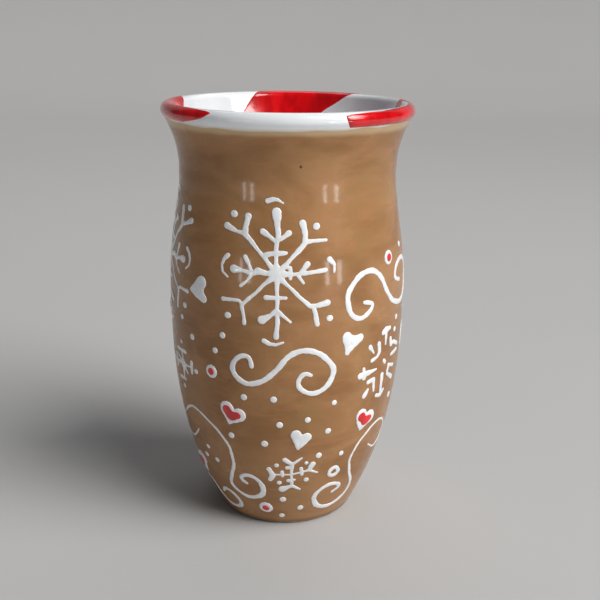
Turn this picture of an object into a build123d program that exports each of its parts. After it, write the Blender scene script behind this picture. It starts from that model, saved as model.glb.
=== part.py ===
"""Tall handleless stoneware mug, thrown, glazed and hand-trailed with slip.

Millimetres. The origin is the centre of the foot on the table, +Z is up and the
front of the decoration faces -Y. Azimuths are degrees round the mug from the
front, positive to the right of someone facing it.
"""

import os
from math import acos, atan2, cos, hypot, pi, radians, sin

from build123d import *

os.makedirs("parts", exist_ok=True)

# ---- Driving sizes ---------------------------------------------------------
height = 155.0            # table to the crest of the rolled lip
lip_diameter = 90.0       # widest point of the rolled lip
lip_roll = 2.5            # radius of the rolled lip
lip_under_angle = -30.0   # where the flare runs into the roll, seen from its centre
lip_inner_angle = 165.0   # where the roll runs into the inside wall
neck_diameter = 78.4      # narrowest point, under the lip
neck_drop = 24.0          # lip crest down to the neck
belly_diameter = 87.0     # widest point of the body
belly_height = 84.0       # table to the widest point
base_diameter = 51.0      # where the lower wall would meet the table
foot_round = 1.2          # how far the lower edge is rounded in
lower_fullness = 2.5      # power of the curve from the base up to the belly
shoulder_hold = 1.35      # how long the shoulder stays full before the neck
flare_power = 2.2         # power of the curve from the neck out to the lip

wall = 4.4                # finished wall, coats included
floor = 7.0               # table to the inside floor
floor_corner = 15.0       # inside floor up to where the wall starts
floor_flat = 0.45         # part of the inside radius that the flat of the floor takes
foot_ring_width = 5.0     # width of the turned ring it stands on
foot_recess = 1.8         # depth of the turned hollow inside the ring
foot_bevel = 1.0          # slope on the inside of the ring

glaze = 0.4               # thickness of both glaze coats
glaze_line = 1.4          # table up to the lower edge of the brown glaze
joint_drop = 5.7          # lip crest down to where white meets brown
relief = 0.5              # how far trailed slip stands off the glaze
stripe = 0.2              # thickness of the red brushed on the lip
stripe_outer_drop = 4.3   # lip crest down to the stripes' outer ends
stripe_inner_drop = 25.0  # lip crest down to the stripes' inner ends
scroll_width = 2.1        # width of a trailed scroll line

drawn_height = 155.0      # the pattern is drawn for a mug this tall
drawn_belly = 87.0        # and this wide, and follows the mug from there

# ---- The pattern, drawn flat -----------------------------------------------
# Every stroke is a row of beads (right, up, radius) that the slip runs through.
BIG_SNOWFLAKE = [
    [(-2.7, 0, 1.6), (-2.7, 11.5, 1.2), (-3.2, 19.6, 1.3)],
    [(-2.8, 9.5, 0.7), (-7.3, 14, 0.95)], [(-2.8, 10, 0.7), (0.8, 13.8, 0.9)],
    [(-6.8, 5.7, 0.7), (-4.6, 7.2, 0.8), (0.3, 6.9, 0.7)],
    [(-2.7, 0, 1.2), (6.2, 9.8, 0.9), (5.4, 16.6, 1.2)], [(6.2, 9.8, 0.8), (13, 10.3, 0.6)],
    [(-2.7, 0, 1.6), (4.5, 0.5, 1.3), (13.5, 1, 0.75)],
    [(5.2, 0.6, 0.8), (7.8, 3.9, 0.9)], [(5, 0.3, 0.6), (6, -2.9, 0.45)],
    [(0.8, 4.2, 0.55), (1.9, 2, 0.5)],
    [(15.2, 4.7, 0.8), (16.8, 2.8, 0.6), (16.4, -0.1, 0.5)],
    [(-2.7, 0, 1.2), (3, -6, 0.8), (8.5, -11, 0.9), (11, -17.7, 0.8)],
    [(8.5, -10.8, 0.7), (14.2, -10.2, 1.2)],
    [(-2.7, 0, 1.6), (-2.6, -12, 0.7), (-2.6, -21.8, 0.9)],
    [(-6.2, -7.8, 0.8), (0.3, -8.1, 0.6)],
    [(-2.6, -12.5, 0.6), (-7.6, -15.6, 1.35)], [(-2.6, -12.5, 0.6), (1.8, -16.3, 0.5)],
    [(-7, -23.2, 0.9), (-4.5, -24.6, 0.7), (-0.4, -23.4, 0.5)],
    [(-2.7, 0, 1.3), (-8, -4.7, 0.7), (-12.5, -10.5, 0.6), (-15, -13.2, 0.6), (-14, -18.2, 0.6)],
    [(-14, -11.8, 0.5), (-20.8, -11.4, 1.0)],
    [(-2.7, 0, 1.6), (-8.5, 0.9, 1.7), (-17, 0.1, 1.4)],
    [(-11.5, 0.8, 0.7), (-13.5, 5.4, 0.9)], [(-11, 0, 0.6), (-15, -5, 0.6)],
    [(-19, 4.8, 0.8), (-21.3, 1.5, 0.5), (-21, -0.8, 0.5), (-19.4, -2.4, 0.5)],
    [(-2.7, 0, 1.2), (-8, 7, 1.1), (-13, 13, 1.2), (-12.3, 18.5, 1.2)],
    [(-13, 13, 0.8), (-19.4, 13.9, 1.1)],
    [(-6, 23.3, 1), (-3.5, 24.5, 0.6), (-0.7, 22.9, 0.5)],
    [(10.1, 15.3, 1.2)], [(15, -15.7, 1.2)], [(-19.3, -15.6, 1.2)], [(-16.9, 18.6, 1.25)],
]
SMALL_SNOWFLAKE = [
    [(0.1, 4.8, 0.8), (0, 0, 0.5), (0.2, -5.8, 0.7)], [(-6, -0.1, 0.4), (0, 0, 0.4), (5.6, 1.5, 0.5)],
    [(0, 5, 0.9), (-2.6, 6.9, 0.9)], [(0.3, 4.8, 0.7), (3.5, 7.4, 0.45)], [(0, 3.4, 0.8), (-1.7, 3.2, 0.8)],
    [(3.3, 2.6, 0.8), (3.8, -0.1, 0.7)], [(6.3, 1.7, 0.9), (7.6, 4.3, 1.1)],
    [(6.4, 1.5, 0.6), (9.3, 0.1, 0.45)],
    [(-3.5, 1.2, 0.8), (-3.2, -0.8, 0.5)], [(-6.5, -0.6, 1.1), (-8.2, 2.3, 0.9)],
    [(-6.6, -0.5, 1.1), (-7.4, -2.6, 0.9)], [(-1.1, -2.9, 0.8), (1.3, -2.5, 0.6)],
    [(0.1, -5.4, 0.7), (-3.1, -7.1, 1.35)], [(0.2, -5.4, 0.7), (3.3, -7.3, 0.5)],
    [(-5.4, 4.2, 0.95)], [(5.2, 5.1, 0.8)], [(-4.3, -4, 1.0)], [(5.4, -2.8, 1.05)],
]
LOOSE_SNOWFLAKE = [
    [(-12, -1.8, 1.4), (-10.4, -1.6, 1.3), (-4, -1.2, 0.5)], [(-10.7, 0.6, 0.8), (-10.2, -3, 0.9)],
    [(-8.3, 8.2, 1.0), (-6, 5.5, 0.4)], [(-3.5, 8.2, 1.1), (-2.8, 5, 0.9), (-4, 3.5, 0.7), (-7, 2.8, 0.8)],
    [(-1, 11.8, 1), (0.8, 12.4, 1.3), (3.5, 12.4, 0.9)], [(0.9, 11.5, 0.9), (1.1, 7, 0.6)],
    [(4.6, 8, 0.9), (5.3, 5.6, 1.1), (7.5, 6, 0.8), (12, 3.8, 0.9)], [(6, 1.4, 0.7), (11.6, 1.7, 0.9)],
    [(0.6, 0.8, 0.9), (1.4, 0, 0.9)], [(9, -3.6, 0.7), (4.6, -2.2, 0.8), (4, -5.3, 0.8), (9, -8.5, 1)],
    [(0.1, -4.8, 1.1), (0.7, -11.6, 0.8)], [(-2, -12.2, 0.8), (0.8, -13, 0.8), (2.6, -11.2, 0.6)],
    [(-8, -5.2, 0.9), (-4.8, -4.8, 0.9), (-4.3, -9.5, 0.6)], [(-9.2, -10.3, 1.1), (-7.6, -8.2, 0.7)],
    [(8, 10.6, 1.1)],
]
BARRED_SNOWFLAKE = [
    [(0.6, 0.6, 1.9), (0.8, -0.4, 1.85)], [(0.3, 0.8, 0.7), (-0.2, 5.3, 0.6)],
    [(-4.3, 5.1, 0.75), (2.8, 5.4, 0.85)], [(1.2, 0.2, 0.65), (5.9, 0.5, 0.45)],
    [(6.9, 2.5, 1), (6.4, -1.5, 0.7)], [(-0.3, 0.1, 0.8), (-6, -0.4, 0.65)],
    [(-6.6, 2, 0.9), (-6.4, -2.4, 0.8)], [(0.4, -1, 0.7), (-0.2, -6, 0.55)],
    [(-4, -6.2, 0.8), (1, -5.9, 0.65)], [(-0.4, 1.1, 0.7), (-4, 2.3, 0.6)],
    [(1.5, -1.2, 0.75), (3.4, -2.6, 0.65)],
    [(0, 8.6, 0.9)], [(9.3, -0.1, 1.1)], [(-1, -9, 1)], [(-9.4, -0.4, 1)],
]
SIDEWAYS_HEART = [[(1.0, 1.8, 2.2), (-4.6, -1.7, 0.7)], [(2.1, -3.7, 1.8), (-4.6, -1.7, 0.7)],
                  [(1.0, 1.8, 1.5), (0.2, -1.2, 1.9), (2.1, -3.7, 1.5)]]
NARROW_HEART = [[(-1.7, 1.1, 1.9), (-0.6, -4.7, 0.7)], [(2.3, -0.1, 1.85), (-0.3, -4.2, 0.7)],
                [(-1.7, 1.1, 1.7), (0.3, -0.6, 1.6), (2.3, -0.1, 1.7)]]
LEANING_HEART = [[(-2.5, 1.6, 1.95), (-2.3, -4.1, 1.0)], [(3, 0.5, 1.45), (-2.1, -3.6, 1.0)],
                 [(-2.5, 1.2, 1.8), (0.2, 0, 1.6), (3, 0.5, 1.45)]]
RED_HEART = [[(-2.1, 1.0, 1.7), (-0.4, -1.2, 1.8)], [(2.2, -0.6, 1.4), (-0.2, -1.3, 1.75)]]
HEART_EDGE = [[(-2.1, 1.4, 2.9), (-1.6, -4.7, 0.5)], [(2.6, -0.4, 2.6), (-1.6, -4.7, 0.5)]]

# Scroll lines are curves through points (azimuth, height on the drawn mug).
MIDDLE_SCROLL = [(-15, 70), (-17.5, 73.7), (-24.3, 70), (-20, 64), (-12, 64.3), (-4, 69), (3, 75),
                 (13, 75.8), (22.4, 69), (20, 63), (13, 60.3), (6.5, 63.5), (8.5, 67.7), (12, 67.2)]
UPPER_SCROLL = [(38.5, 90.8), (43.5, 89), (36, 85.4), (29, 92), (35, 100), (46, 100.6), (55, 92),
                (63, 87), (76, 86), (84, 92), (79, 100), (67, 100.5), (62.8, 96.5), (69, 94)]
RIGHT_SCROLL = [(33, 14.8), (37, 17), (30, 19.2), (21, 16), (22.5, 9.8), (36, 7.5), (48.3, 13.5),
                (41.5, 24), (41.5, 33), (55, 40.8), (66, 39.5), (71, 33.5), (65, 28.8), (54, 32)]
LEFT_SCROLL = [(-54, 38), (-61, 33.6), (-75, 31.6), (-81, 35.5), (-70, 41), (-56, 47), (-44, 45),
               (-31.5, 37), (-31.5, 25), (-35.5, 18), (-25, 13.3), (-13, 18), (-20, 24.3), (-27, 22.3),
               (-23.5, 20.3)]
LOW_SCROLL = [(-49, 11), (-42.5, 13.3), (-33.8, 9.5), (-38, 5.6), (-50, 6.2), (-60, 12.5), (-72, 12.8),
              (-78, 8.5)]
SCROLL_BEADS = 34         # beads that a scroll line is drawn with
SCROLL_END = 0.7          # width of a scroll's ends, as a share of its middle

# Round marks: azimuth and height on the drawn mug.
DOTS = [(-57.8, 81.5), (-49, 75.8), (-29.3, 79.8), (-33.7, 73.6), (-19.3, 58), (-5, 58.2), (24, 55.7),
        (11.2, 50), (-2.3, 48.2), (22, 44.5), (-28, 41.3), (-10, 40), (18.4, 34.4), (32, 33.3), (-48, 32),
        (-52.3, 27.4), (-42.5, 27.4), (-1, 14), (11.2, 9.2), (-2, 5), (66, 80.5), (71.5, 106.5), (67, 49.5),
        (92, 112), (145, 112), (160, 80), (96, 60), (130, 46), (122, 20), (166, 20), (172, 56), (187, 112),
        (212, 86), (232, 78), (215, 48), (200, 20), (246, 116), (258, 84), (256, 46), (180, 36), (236, 18)]
RINGS = [(-36.5, 65.3), (56.7, 104), (-13.2, 9), (-77, 82), (104, 96), (166, 108), (226, 108), (178, 12)]
OPEN_RING = (29.5, 25.4)
dot_radius = 1.2          # plain dot of white slip
ring_radius = 2.6         # dot with a red centre
ring_centre_radius = 1.5  # the red inside it
open_ring_radius = 2.7    # ring with the brown glaze showing inside
open_centre_radius = 1.0  # the brown inside it

# ---- Sizes worked out ------------------------------------------------------
belly_radius = belly_diameter / 2
neck_radius = neck_diameter / 2
base_radius = base_diameter / 2
neck_height = height - neck_drop
lip_centre = (lip_diameter / 2 - lip_roll, height - lip_roll)
under_lip_radius = lip_centre[0] + lip_roll * cos(radians(lip_under_angle))
under_lip_height = lip_centre[1] + lip_roll * sin(radians(lip_under_angle))
joint_height = height - joint_drop
rise = height / drawn_height
pattern_scale = min(rise, belly_diameter / drawn_belly)
prism_depth = 0.3 * belly_diameter  # how far in from its plane a drawing is carried
layer_sector = 84.0       # degrees of wall that one drawing can be laid on
layer_margin = 3.0        # how far the wall layer under a drawing runs past it
layer_low = glaze_line + relief
layer_high = neck_height + neck_drop / 4


def body_radius(level):
    """Radius of the finished outer surface at a height above the table."""
    if level < belly_height:
        taper = (1 - level / belly_height) ** lower_fullness
        return belly_radius - (belly_radius - base_radius) * taper
    if level < neck_height:
        along = ((level - belly_height) / (neck_height - belly_height)) ** shoulder_hold
        return belly_radius - (belly_radius - neck_radius) * along**2 * (3 - 2 * along)
    along = (level - neck_height) / (under_lip_height - neck_height)
    return neck_radius + (under_lip_radius - neck_radius) * along**flare_power


def offset_point(radius_at, level, grow):
    """A point of a wall curve moved along its normal, away from the axis."""
    step = 0.05
    slope = (radius_at(level + step) - radius_at(level - step)) / (2 * step)
    length = hypot(1, slope)
    return (radius_at(level) + grow / length, level - grow * slope / length)


def lip_point(angle, grow):
    """A point of the rolled lip, at an angle seen from the roll's centre."""
    reach = lip_roll + grow
    return (lip_centre[0] + reach * cos(radians(angle)), lip_centre[1] + reach * sin(radians(angle)))


def outer_points(grow):
    """Outer wall from just above the foot up to the lip, grown by a thickness."""
    lower = [belly_height * share for share in (0.01, 0.06, 0.12, 0.22, 0.36, 0.54, 0.76, 1.0)]
    reach = neck_height - belly_height
    shoulder = [belly_height + reach * share for share in (0.25, 0.5, 0.75, 1.0)]
    flare = [neck_height + (under_lip_height - neck_height) * share for share in (0.35, 0.7)]
    points = [offset_point(body_radius, level, grow) for level in lower + shoulder + flare]
    return points + [lip_point(lip_under_angle, grow)]


def inner_points(grow):
    """Inside wall from the lip down to the floor corner, grown into the cavity."""
    def inside(level):
        return body_radius(level) - wall

    top = neck_height + 0.5 * (under_lip_height - neck_height)
    low = floor + floor_corner
    levels = [top, neck_height, (neck_height + belly_height) / 2, belly_height]
    levels += [low + (belly_height - low) * share for share in (0.6, 0.3, 0.1)]
    points = [offset_point(inside, level, -grow) for level in levels]
    flat = floor_flat * inside(low)
    for turn in (25, 50, 70, 90):
        across = cos(radians(turn))
        down = sin(radians(turn))
        points.append((flat + (inside(low) - flat - grow) * across, low - (low - floor - grow) * down))
    return [lip_point(lip_inner_angle, grow)] + points


def tangent_at(angle):
    """Direction of the lip's roll at an angle, anticlockwise."""
    return (-sin(radians(angle)), cos(radians(angle)))


def outer_curve(grow):
    """Outer wall curve, drawn into the current BuildLine."""
    points = outer_points(grow)
    first = (points[1][0] - points[0][0], points[1][1] - points[0][1])
    return Spline(*points, tangents=[first, tangent_at(lip_under_angle)])


def wall_section(grow):
    """Half section of the mug: outer wall, rolled lip, inside, floor and foot."""
    with BuildSketch() as section:
        with BuildLine():
            outside = outer_curve(grow)
            middle = (lip_under_angle + lip_inner_angle) / 2
            ThreePointArc(outside @ 1, lip_point(middle, grow), lip_point(lip_inner_angle, grow))
            inside = Spline(*inner_points(grow), tangents=[tangent_at(lip_inner_angle), (-1, 0)])
            ring_outer = (outside @ 0).X - foot_round
            ring_inner = ring_outer - foot_ring_width
            Line(inside @ 1, (0, floor + grow))
            Polyline((0, floor + grow), (0, foot_recess), (ring_inner - foot_bevel, foot_recess))
            Polyline((ring_inner - foot_bevel, foot_recess), (ring_inner, 0), (ring_outer, 0), outside @ 0)
        make_face()
    return section.sketch_local


def outer_band(low, high, inner_grow, outer_grow):
    """Half section of a coat on the outside, between two heights."""
    with BuildSketch() as section:
        with BuildLine():
            near = outer_curve(inner_grow)
            far = outer_curve(outer_grow)
            Line(near @ 0, far @ 0)
            Line(near @ 1, far @ 1)
        make_face()
        with Locations((lip_diameter / 2, (low + high) / 2)):
            Rectangle(lip_diameter, high - low, mode=Mode.INTERSECT)
    return section.sketch_local


def save(piece, name):
    """Label a finished piece and write it as its own STEP file."""
    piece.part.label = name
    export_step(piece.part, f"parts/{name}.step")


# ---- The thrown body -------------------------------------------------------
with BuildPart() as clay_body:
    with BuildSketch(Plane.XZ):
        add(wall_section(-glaze))
    revolve(axis=Axis.Z)
save(clay_body, "clay_body")

# ---- The two glaze coats ---------------------------------------------------
with BuildPart() as brown_glaze:
    with BuildSketch(Plane.XZ):
        add(outer_band(glaze_line, joint_height, -glaze, 0))
    revolve(axis=Axis.Z)
save(brown_glaze, "brown_glaze")

with BuildPart() as liner_glaze:
    with BuildSketch(Plane.XZ):
        add(wall_section(0))
        add(wall_section(-glaze), mode=Mode.SUBTRACT)
        add(outer_band(-height, joint_height, -glaze, 0), mode=Mode.SUBTRACT)
        Rectangle(lip_diameter, floor, mode=Mode.SUBTRACT)
    revolve(axis=Axis.Z)
save(liner_glaze, "liner_glaze")


# ---- Red brushed over the lip ----------------------------------------------
def on_circle(reach, azimuth):
    """A point of a circle round the axis, seen from above."""
    return (reach * sin(radians(azimuth)), -reach * cos(radians(azimuth)))


def lip_stripe(start, stop, swirl):
    """A red stripe over the lip, from one azimuth to another, swirling inside."""
    steps = 5
    reach_in = neck_radius - wall - lip_roll
    reach_out = lip_diameter
    turns = [start + (stop - start) * k / (steps - 1) for k in range(steps)]
    inside = [on_circle(reach_in, turn + swirl) for turn in turns]
    outside = [on_circle(reach_out, turn - swirl) for turn in turns]
    with BuildPart() as piece:
        with BuildSketch(Plane.XZ):
            add(wall_section(stripe))
            add(wall_section(0), mode=Mode.SUBTRACT)
            add(outer_band(-height, height - stripe_outer_drop, -glaze, 2 * stripe), mode=Mode.SUBTRACT)
            keep = Pos(lip_centre[0], height - stripe_outer_drop) * Rectangle(
                lip_diameter, height, align=Align.MIN, mode=Mode.PRIVATE)
            keep += Pos(0, height - stripe_inner_drop) * Rectangle(
                lip_centre[0], height, align=Align.MIN, mode=Mode.PRIVATE)
            add(keep, mode=Mode.INTERSECT)
        revolve(axis=Axis.Z)
        with BuildSketch(Plane.XY.offset(height / 2)):
            Polygon(*inside, *reversed(outside), align=None)
        extrude(amount=height, mode=Mode.INTERSECT)
    return piece


STRIPES = {"left_lip_stripe": (-119, -41), "right_lip_stripe": (24, 116), "back_lip_stripe": (147, 197)}
stripe_swirl = 9.0        # degrees that a stripe turns between the lip and its inner end
for name, (start, stop) in STRIPES.items():
    save(lip_stripe(start, stop, stripe_swirl), name)


# ---- Slip trailed on the brown glaze ---------------------------------------
def bead_hull(first, second):
    """Outline round two beads (right, up, radius) and the slip between them."""
    away = atan2(second[1] - first[1], second[0] - first[0])
    spread = acos((first[2] - second[2]) / hypot(second[0] - first[0], second[1] - first[1]))

    def rim(bead, turn):
        return (bead[0] + bead[2] * cos(away + turn), bead[1] + bead[2] * sin(away + turn))

    with BuildSketch() as outline:
        with BuildLine():
            Line(rim(first, spread), rim(second, spread))
            ThreePointArc(rim(second, spread), rim(second, 0), rim(second, -spread))
            Line(rim(second, -spread), rim(first, -spread))
            ThreePointArc(rim(first, -spread), rim(first, pi), rim(first, spread))
        make_face()
    return outline.sketch_local


def slip_strokes(strokes, scale=1.0, mirrored=False):
    """Strokes of slip, each a row of beads, as one sketch."""
    side = -scale if mirrored else scale
    faces = []
    for stroke in strokes:
        beads = [(side * right, scale * up, scale * radius) for right, up, radius in stroke]
        if len(beads) == 1:
            right, up, radius = beads[0]
            faces.append(Pos(right, up) * Circle(radius, mode=Mode.PRIVATE))
        faces += [bead_hull(first, second) for first, second in zip(beads, beads[1:])]
    with BuildSketch() as drawing:
        add(faces)
    return drawing.sketch_local


def facing(azimuth, level):
    """Plane in front of the mug that looks at its axis from an azimuth."""
    turn = radians(azimuth)
    out = belly_radius + lip_roll
    return Plane(origin=(out * sin(turn), -out * cos(turn), level), x_dir=(cos(turn), sin(turn), 0),
                 z_dir=(sin(turn), -cos(turn), 0))


def slip_on_wall(drawing, azimuth, level):
    """The slip of a flat drawing, laid on the brown glaze."""
    turn = radians(azimuth - layer_sector / 2)
    edge_on = Plane(origin=(0, 0, 0), x_dir=(sin(turn), -cos(turn), 0), z_dir=(-cos(turn), -sin(turn), 0))
    drawn = drawing.bounding_box()
    low = max(layer_low, level + drawn.min.Y - layer_margin)
    high = min(layer_high, level + drawn.max.Y + layer_margin)
    with BuildPart() as piece:
        with BuildSketch(edge_on):
            add(outer_band(low, high, 0, relief))
        revolve(axis=Axis.Z, revolution_arc=layer_sector)
        with BuildSketch(facing(azimuth, level)):
            add(drawing)
        extrude(amount=-prism_depth, mode=Mode.INTERSECT)
    return piece


def scroll_drawing(points, centre, shift):
    """A scroll line seen from its centre azimuth, with thinner ends."""
    flat = [(body_radius(level * rise) * sin(radians(azimuth + shift - centre)), level * rise)
            for azimuth, level in points]
    with BuildLine() as curve:
        Spline(*flat)
    line = curve.line.edges()[0]
    beads = []
    for k in range(SCROLL_BEADS + 1):
        along = k / SCROLL_BEADS
        swell = SCROLL_END + (1 - SCROLL_END) * sin(pi * along) ** 0.5
        spot = line @ along
        beads.append((spot.X, spot.Y, pattern_scale * scroll_width / 2 * swell))
    return slip_strokes([beads])


# Snowflakes and white hearts: strokes, azimuth, height, mirrored.
MOTIFS = {
    "front_snowflake": (BIG_SNOWFLAKE, 0, 103, False),
    "left_top_snowflake": (BIG_SNOWFLAKE, -81, 102, True),
    "back_top_snowflake": (BIG_SNOWFLAKE, 119, 102, True),
    "small_front_snowflake": (SMALL_SNOWFLAKE, 4, 26.5, False),
    "small_right_snowflake": (SMALL_SNOWFLAKE, 97, 26.5, True),
    "small_left_snowflake": (SMALL_SNOWFLAKE, -98, 26.5, True),
    "right_snowflake": (LOOSE_SNOWFLAKE, 54, 65.5, False),
    "left_back_snowflake": (LOOSE_SNOWFLAKE, -117, 64, True),
    "left_snowflake": (BARRED_SNOWFLAKE, -60, 63, False),
    "back_snowflake": (BARRED_SNOWFLAKE, 150, 63, True),
    "left_heart": (SIDEWAYS_HEART, -43, 95, False),
    "right_heart": (LEANING_HEART, 32.5, 78, False),
    "low_heart": (NARROW_HEART, 8, 43, False),
    "side_heart": (NARROW_HEART, 93, 80, True),
    "back_heart": (LEANING_HEART, -128, 92, True),
}
for name, (strokes, azimuth, level, mirrored) in MOTIFS.items():
    drawing = slip_strokes(strokes, pattern_scale, mirrored)
    save(slip_on_wall(drawing, azimuth, level * rise), name)

# Scrolls: curve, centre azimuth, and degrees that the curve is moved round.
SCROLLS = {
    "middle_scroll": (MIDDLE_SCROLL, -1, 0),
    "side_middle_scroll": (MIDDLE_SCROLL, 104, 105),
    "back_middle_scroll": (MIDDLE_SCROLL, 196, 197),
    "upper_scroll": (UPPER_SCROLL, 56, 0),
    "back_upper_scroll": (UPPER_SCROLL, 177, 121),
    "right_low_scroll": (RIGHT_SCROLL, 46, 0),
    "back_right_scroll": (RIGHT_SCROLL, 146, 100),
    "left_low_scroll": (LEFT_SCROLL, -47, 0),
    "back_left_scroll": (LEFT_SCROLL, -147, -100),
    "foot_scroll": (LOW_SCROLL, -56, 0),
}
for name, (points, centre, shift) in SCROLLS.items():
    save(slip_on_wall(scroll_drawing(points, centre, shift), centre, 0), name)

# Red hearts with a white edge: azimuth, height, mirrored.
RED_HEARTS = {"left": (-26, 51, False), "right": (44.5, 46, False), "foot": (-66, 21.5, True),
              "back_right": (144.5, 46, False), "back_left": (-126, 51, True)}
for place, (azimuth, level, mirrored) in RED_HEARTS.items():
    red = slip_strokes(RED_HEART, pattern_scale, mirrored)
    edge = slip_strokes(HEART_EDGE, pattern_scale, mirrored) - red
    save(slip_on_wall(red, azimuth, level * rise), f"{place}_red_heart")
    save(slip_on_wall(edge, azimuth, level * rise), f"{place}_heart_edge")


def marks_on_wall(places, outer, inner=0.0):
    """Round marks of slip, or rings of it, at places (azimuth, drawn height)."""
    with BuildPart() as piece:
        for azimuth, level in places:
            with BuildSketch() as mark:
                Circle(pattern_scale * outer)
                if inner:
                    Circle(pattern_scale * inner, mode=Mode.SUBTRACT)
            add(slip_on_wall(mark.sketch_local, azimuth, level * rise).part)
    return piece


save(marks_on_wall(DOTS, dot_radius), "white_dots")
save(marks_on_wall(RINGS, ring_radius, ring_centre_radius), "dot_rings")
save(marks_on_wall(RINGS, ring_centre_radius), "red_dots")
save(marks_on_wall([OPEN_RING], open_ring_radius, open_centre_radius), "open_ring")
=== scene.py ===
"""Looks of a tall handleless stoneware mug: thrown wall, two glazes, red lip and trailed slip.

Metres. The foot stands on z = 0, the mug's axis is Z and the front faces -Y.
Azimuths are degrees round the mug from the front, positive to the right of
someone facing it. A flat drawing is in millimetres, as the potter would draw it.
"""

from __future__ import annotations

import logging
from dataclasses import dataclass
from enum import Enum
from math import cos, pi, radians, sin

import bpy
import numpy as np
from mathutils import Euler, Matrix, Vector


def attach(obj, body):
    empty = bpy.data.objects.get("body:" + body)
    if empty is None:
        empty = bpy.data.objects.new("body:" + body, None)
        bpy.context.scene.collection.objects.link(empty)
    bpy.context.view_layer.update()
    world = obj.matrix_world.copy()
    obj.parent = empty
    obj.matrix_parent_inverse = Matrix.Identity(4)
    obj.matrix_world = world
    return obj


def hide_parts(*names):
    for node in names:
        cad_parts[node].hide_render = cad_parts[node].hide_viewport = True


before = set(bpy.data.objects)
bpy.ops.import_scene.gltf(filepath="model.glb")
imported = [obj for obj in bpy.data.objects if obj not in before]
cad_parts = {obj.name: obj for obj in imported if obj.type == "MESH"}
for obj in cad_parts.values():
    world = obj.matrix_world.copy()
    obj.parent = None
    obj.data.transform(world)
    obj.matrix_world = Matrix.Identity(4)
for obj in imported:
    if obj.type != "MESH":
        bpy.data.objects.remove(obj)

log = logging.getLogger("mug")

MM = 0.001
FULL_TURN = 2 * pi
LOWEST_EDGE = radians(8)  # how far left of the front the white hangs lowest

Bead = tuple[float, float, float]
Stroke = list[Bead]
Point = tuple[float, float]


# ---- The wall that everything lies on ---------------------------------------


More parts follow.
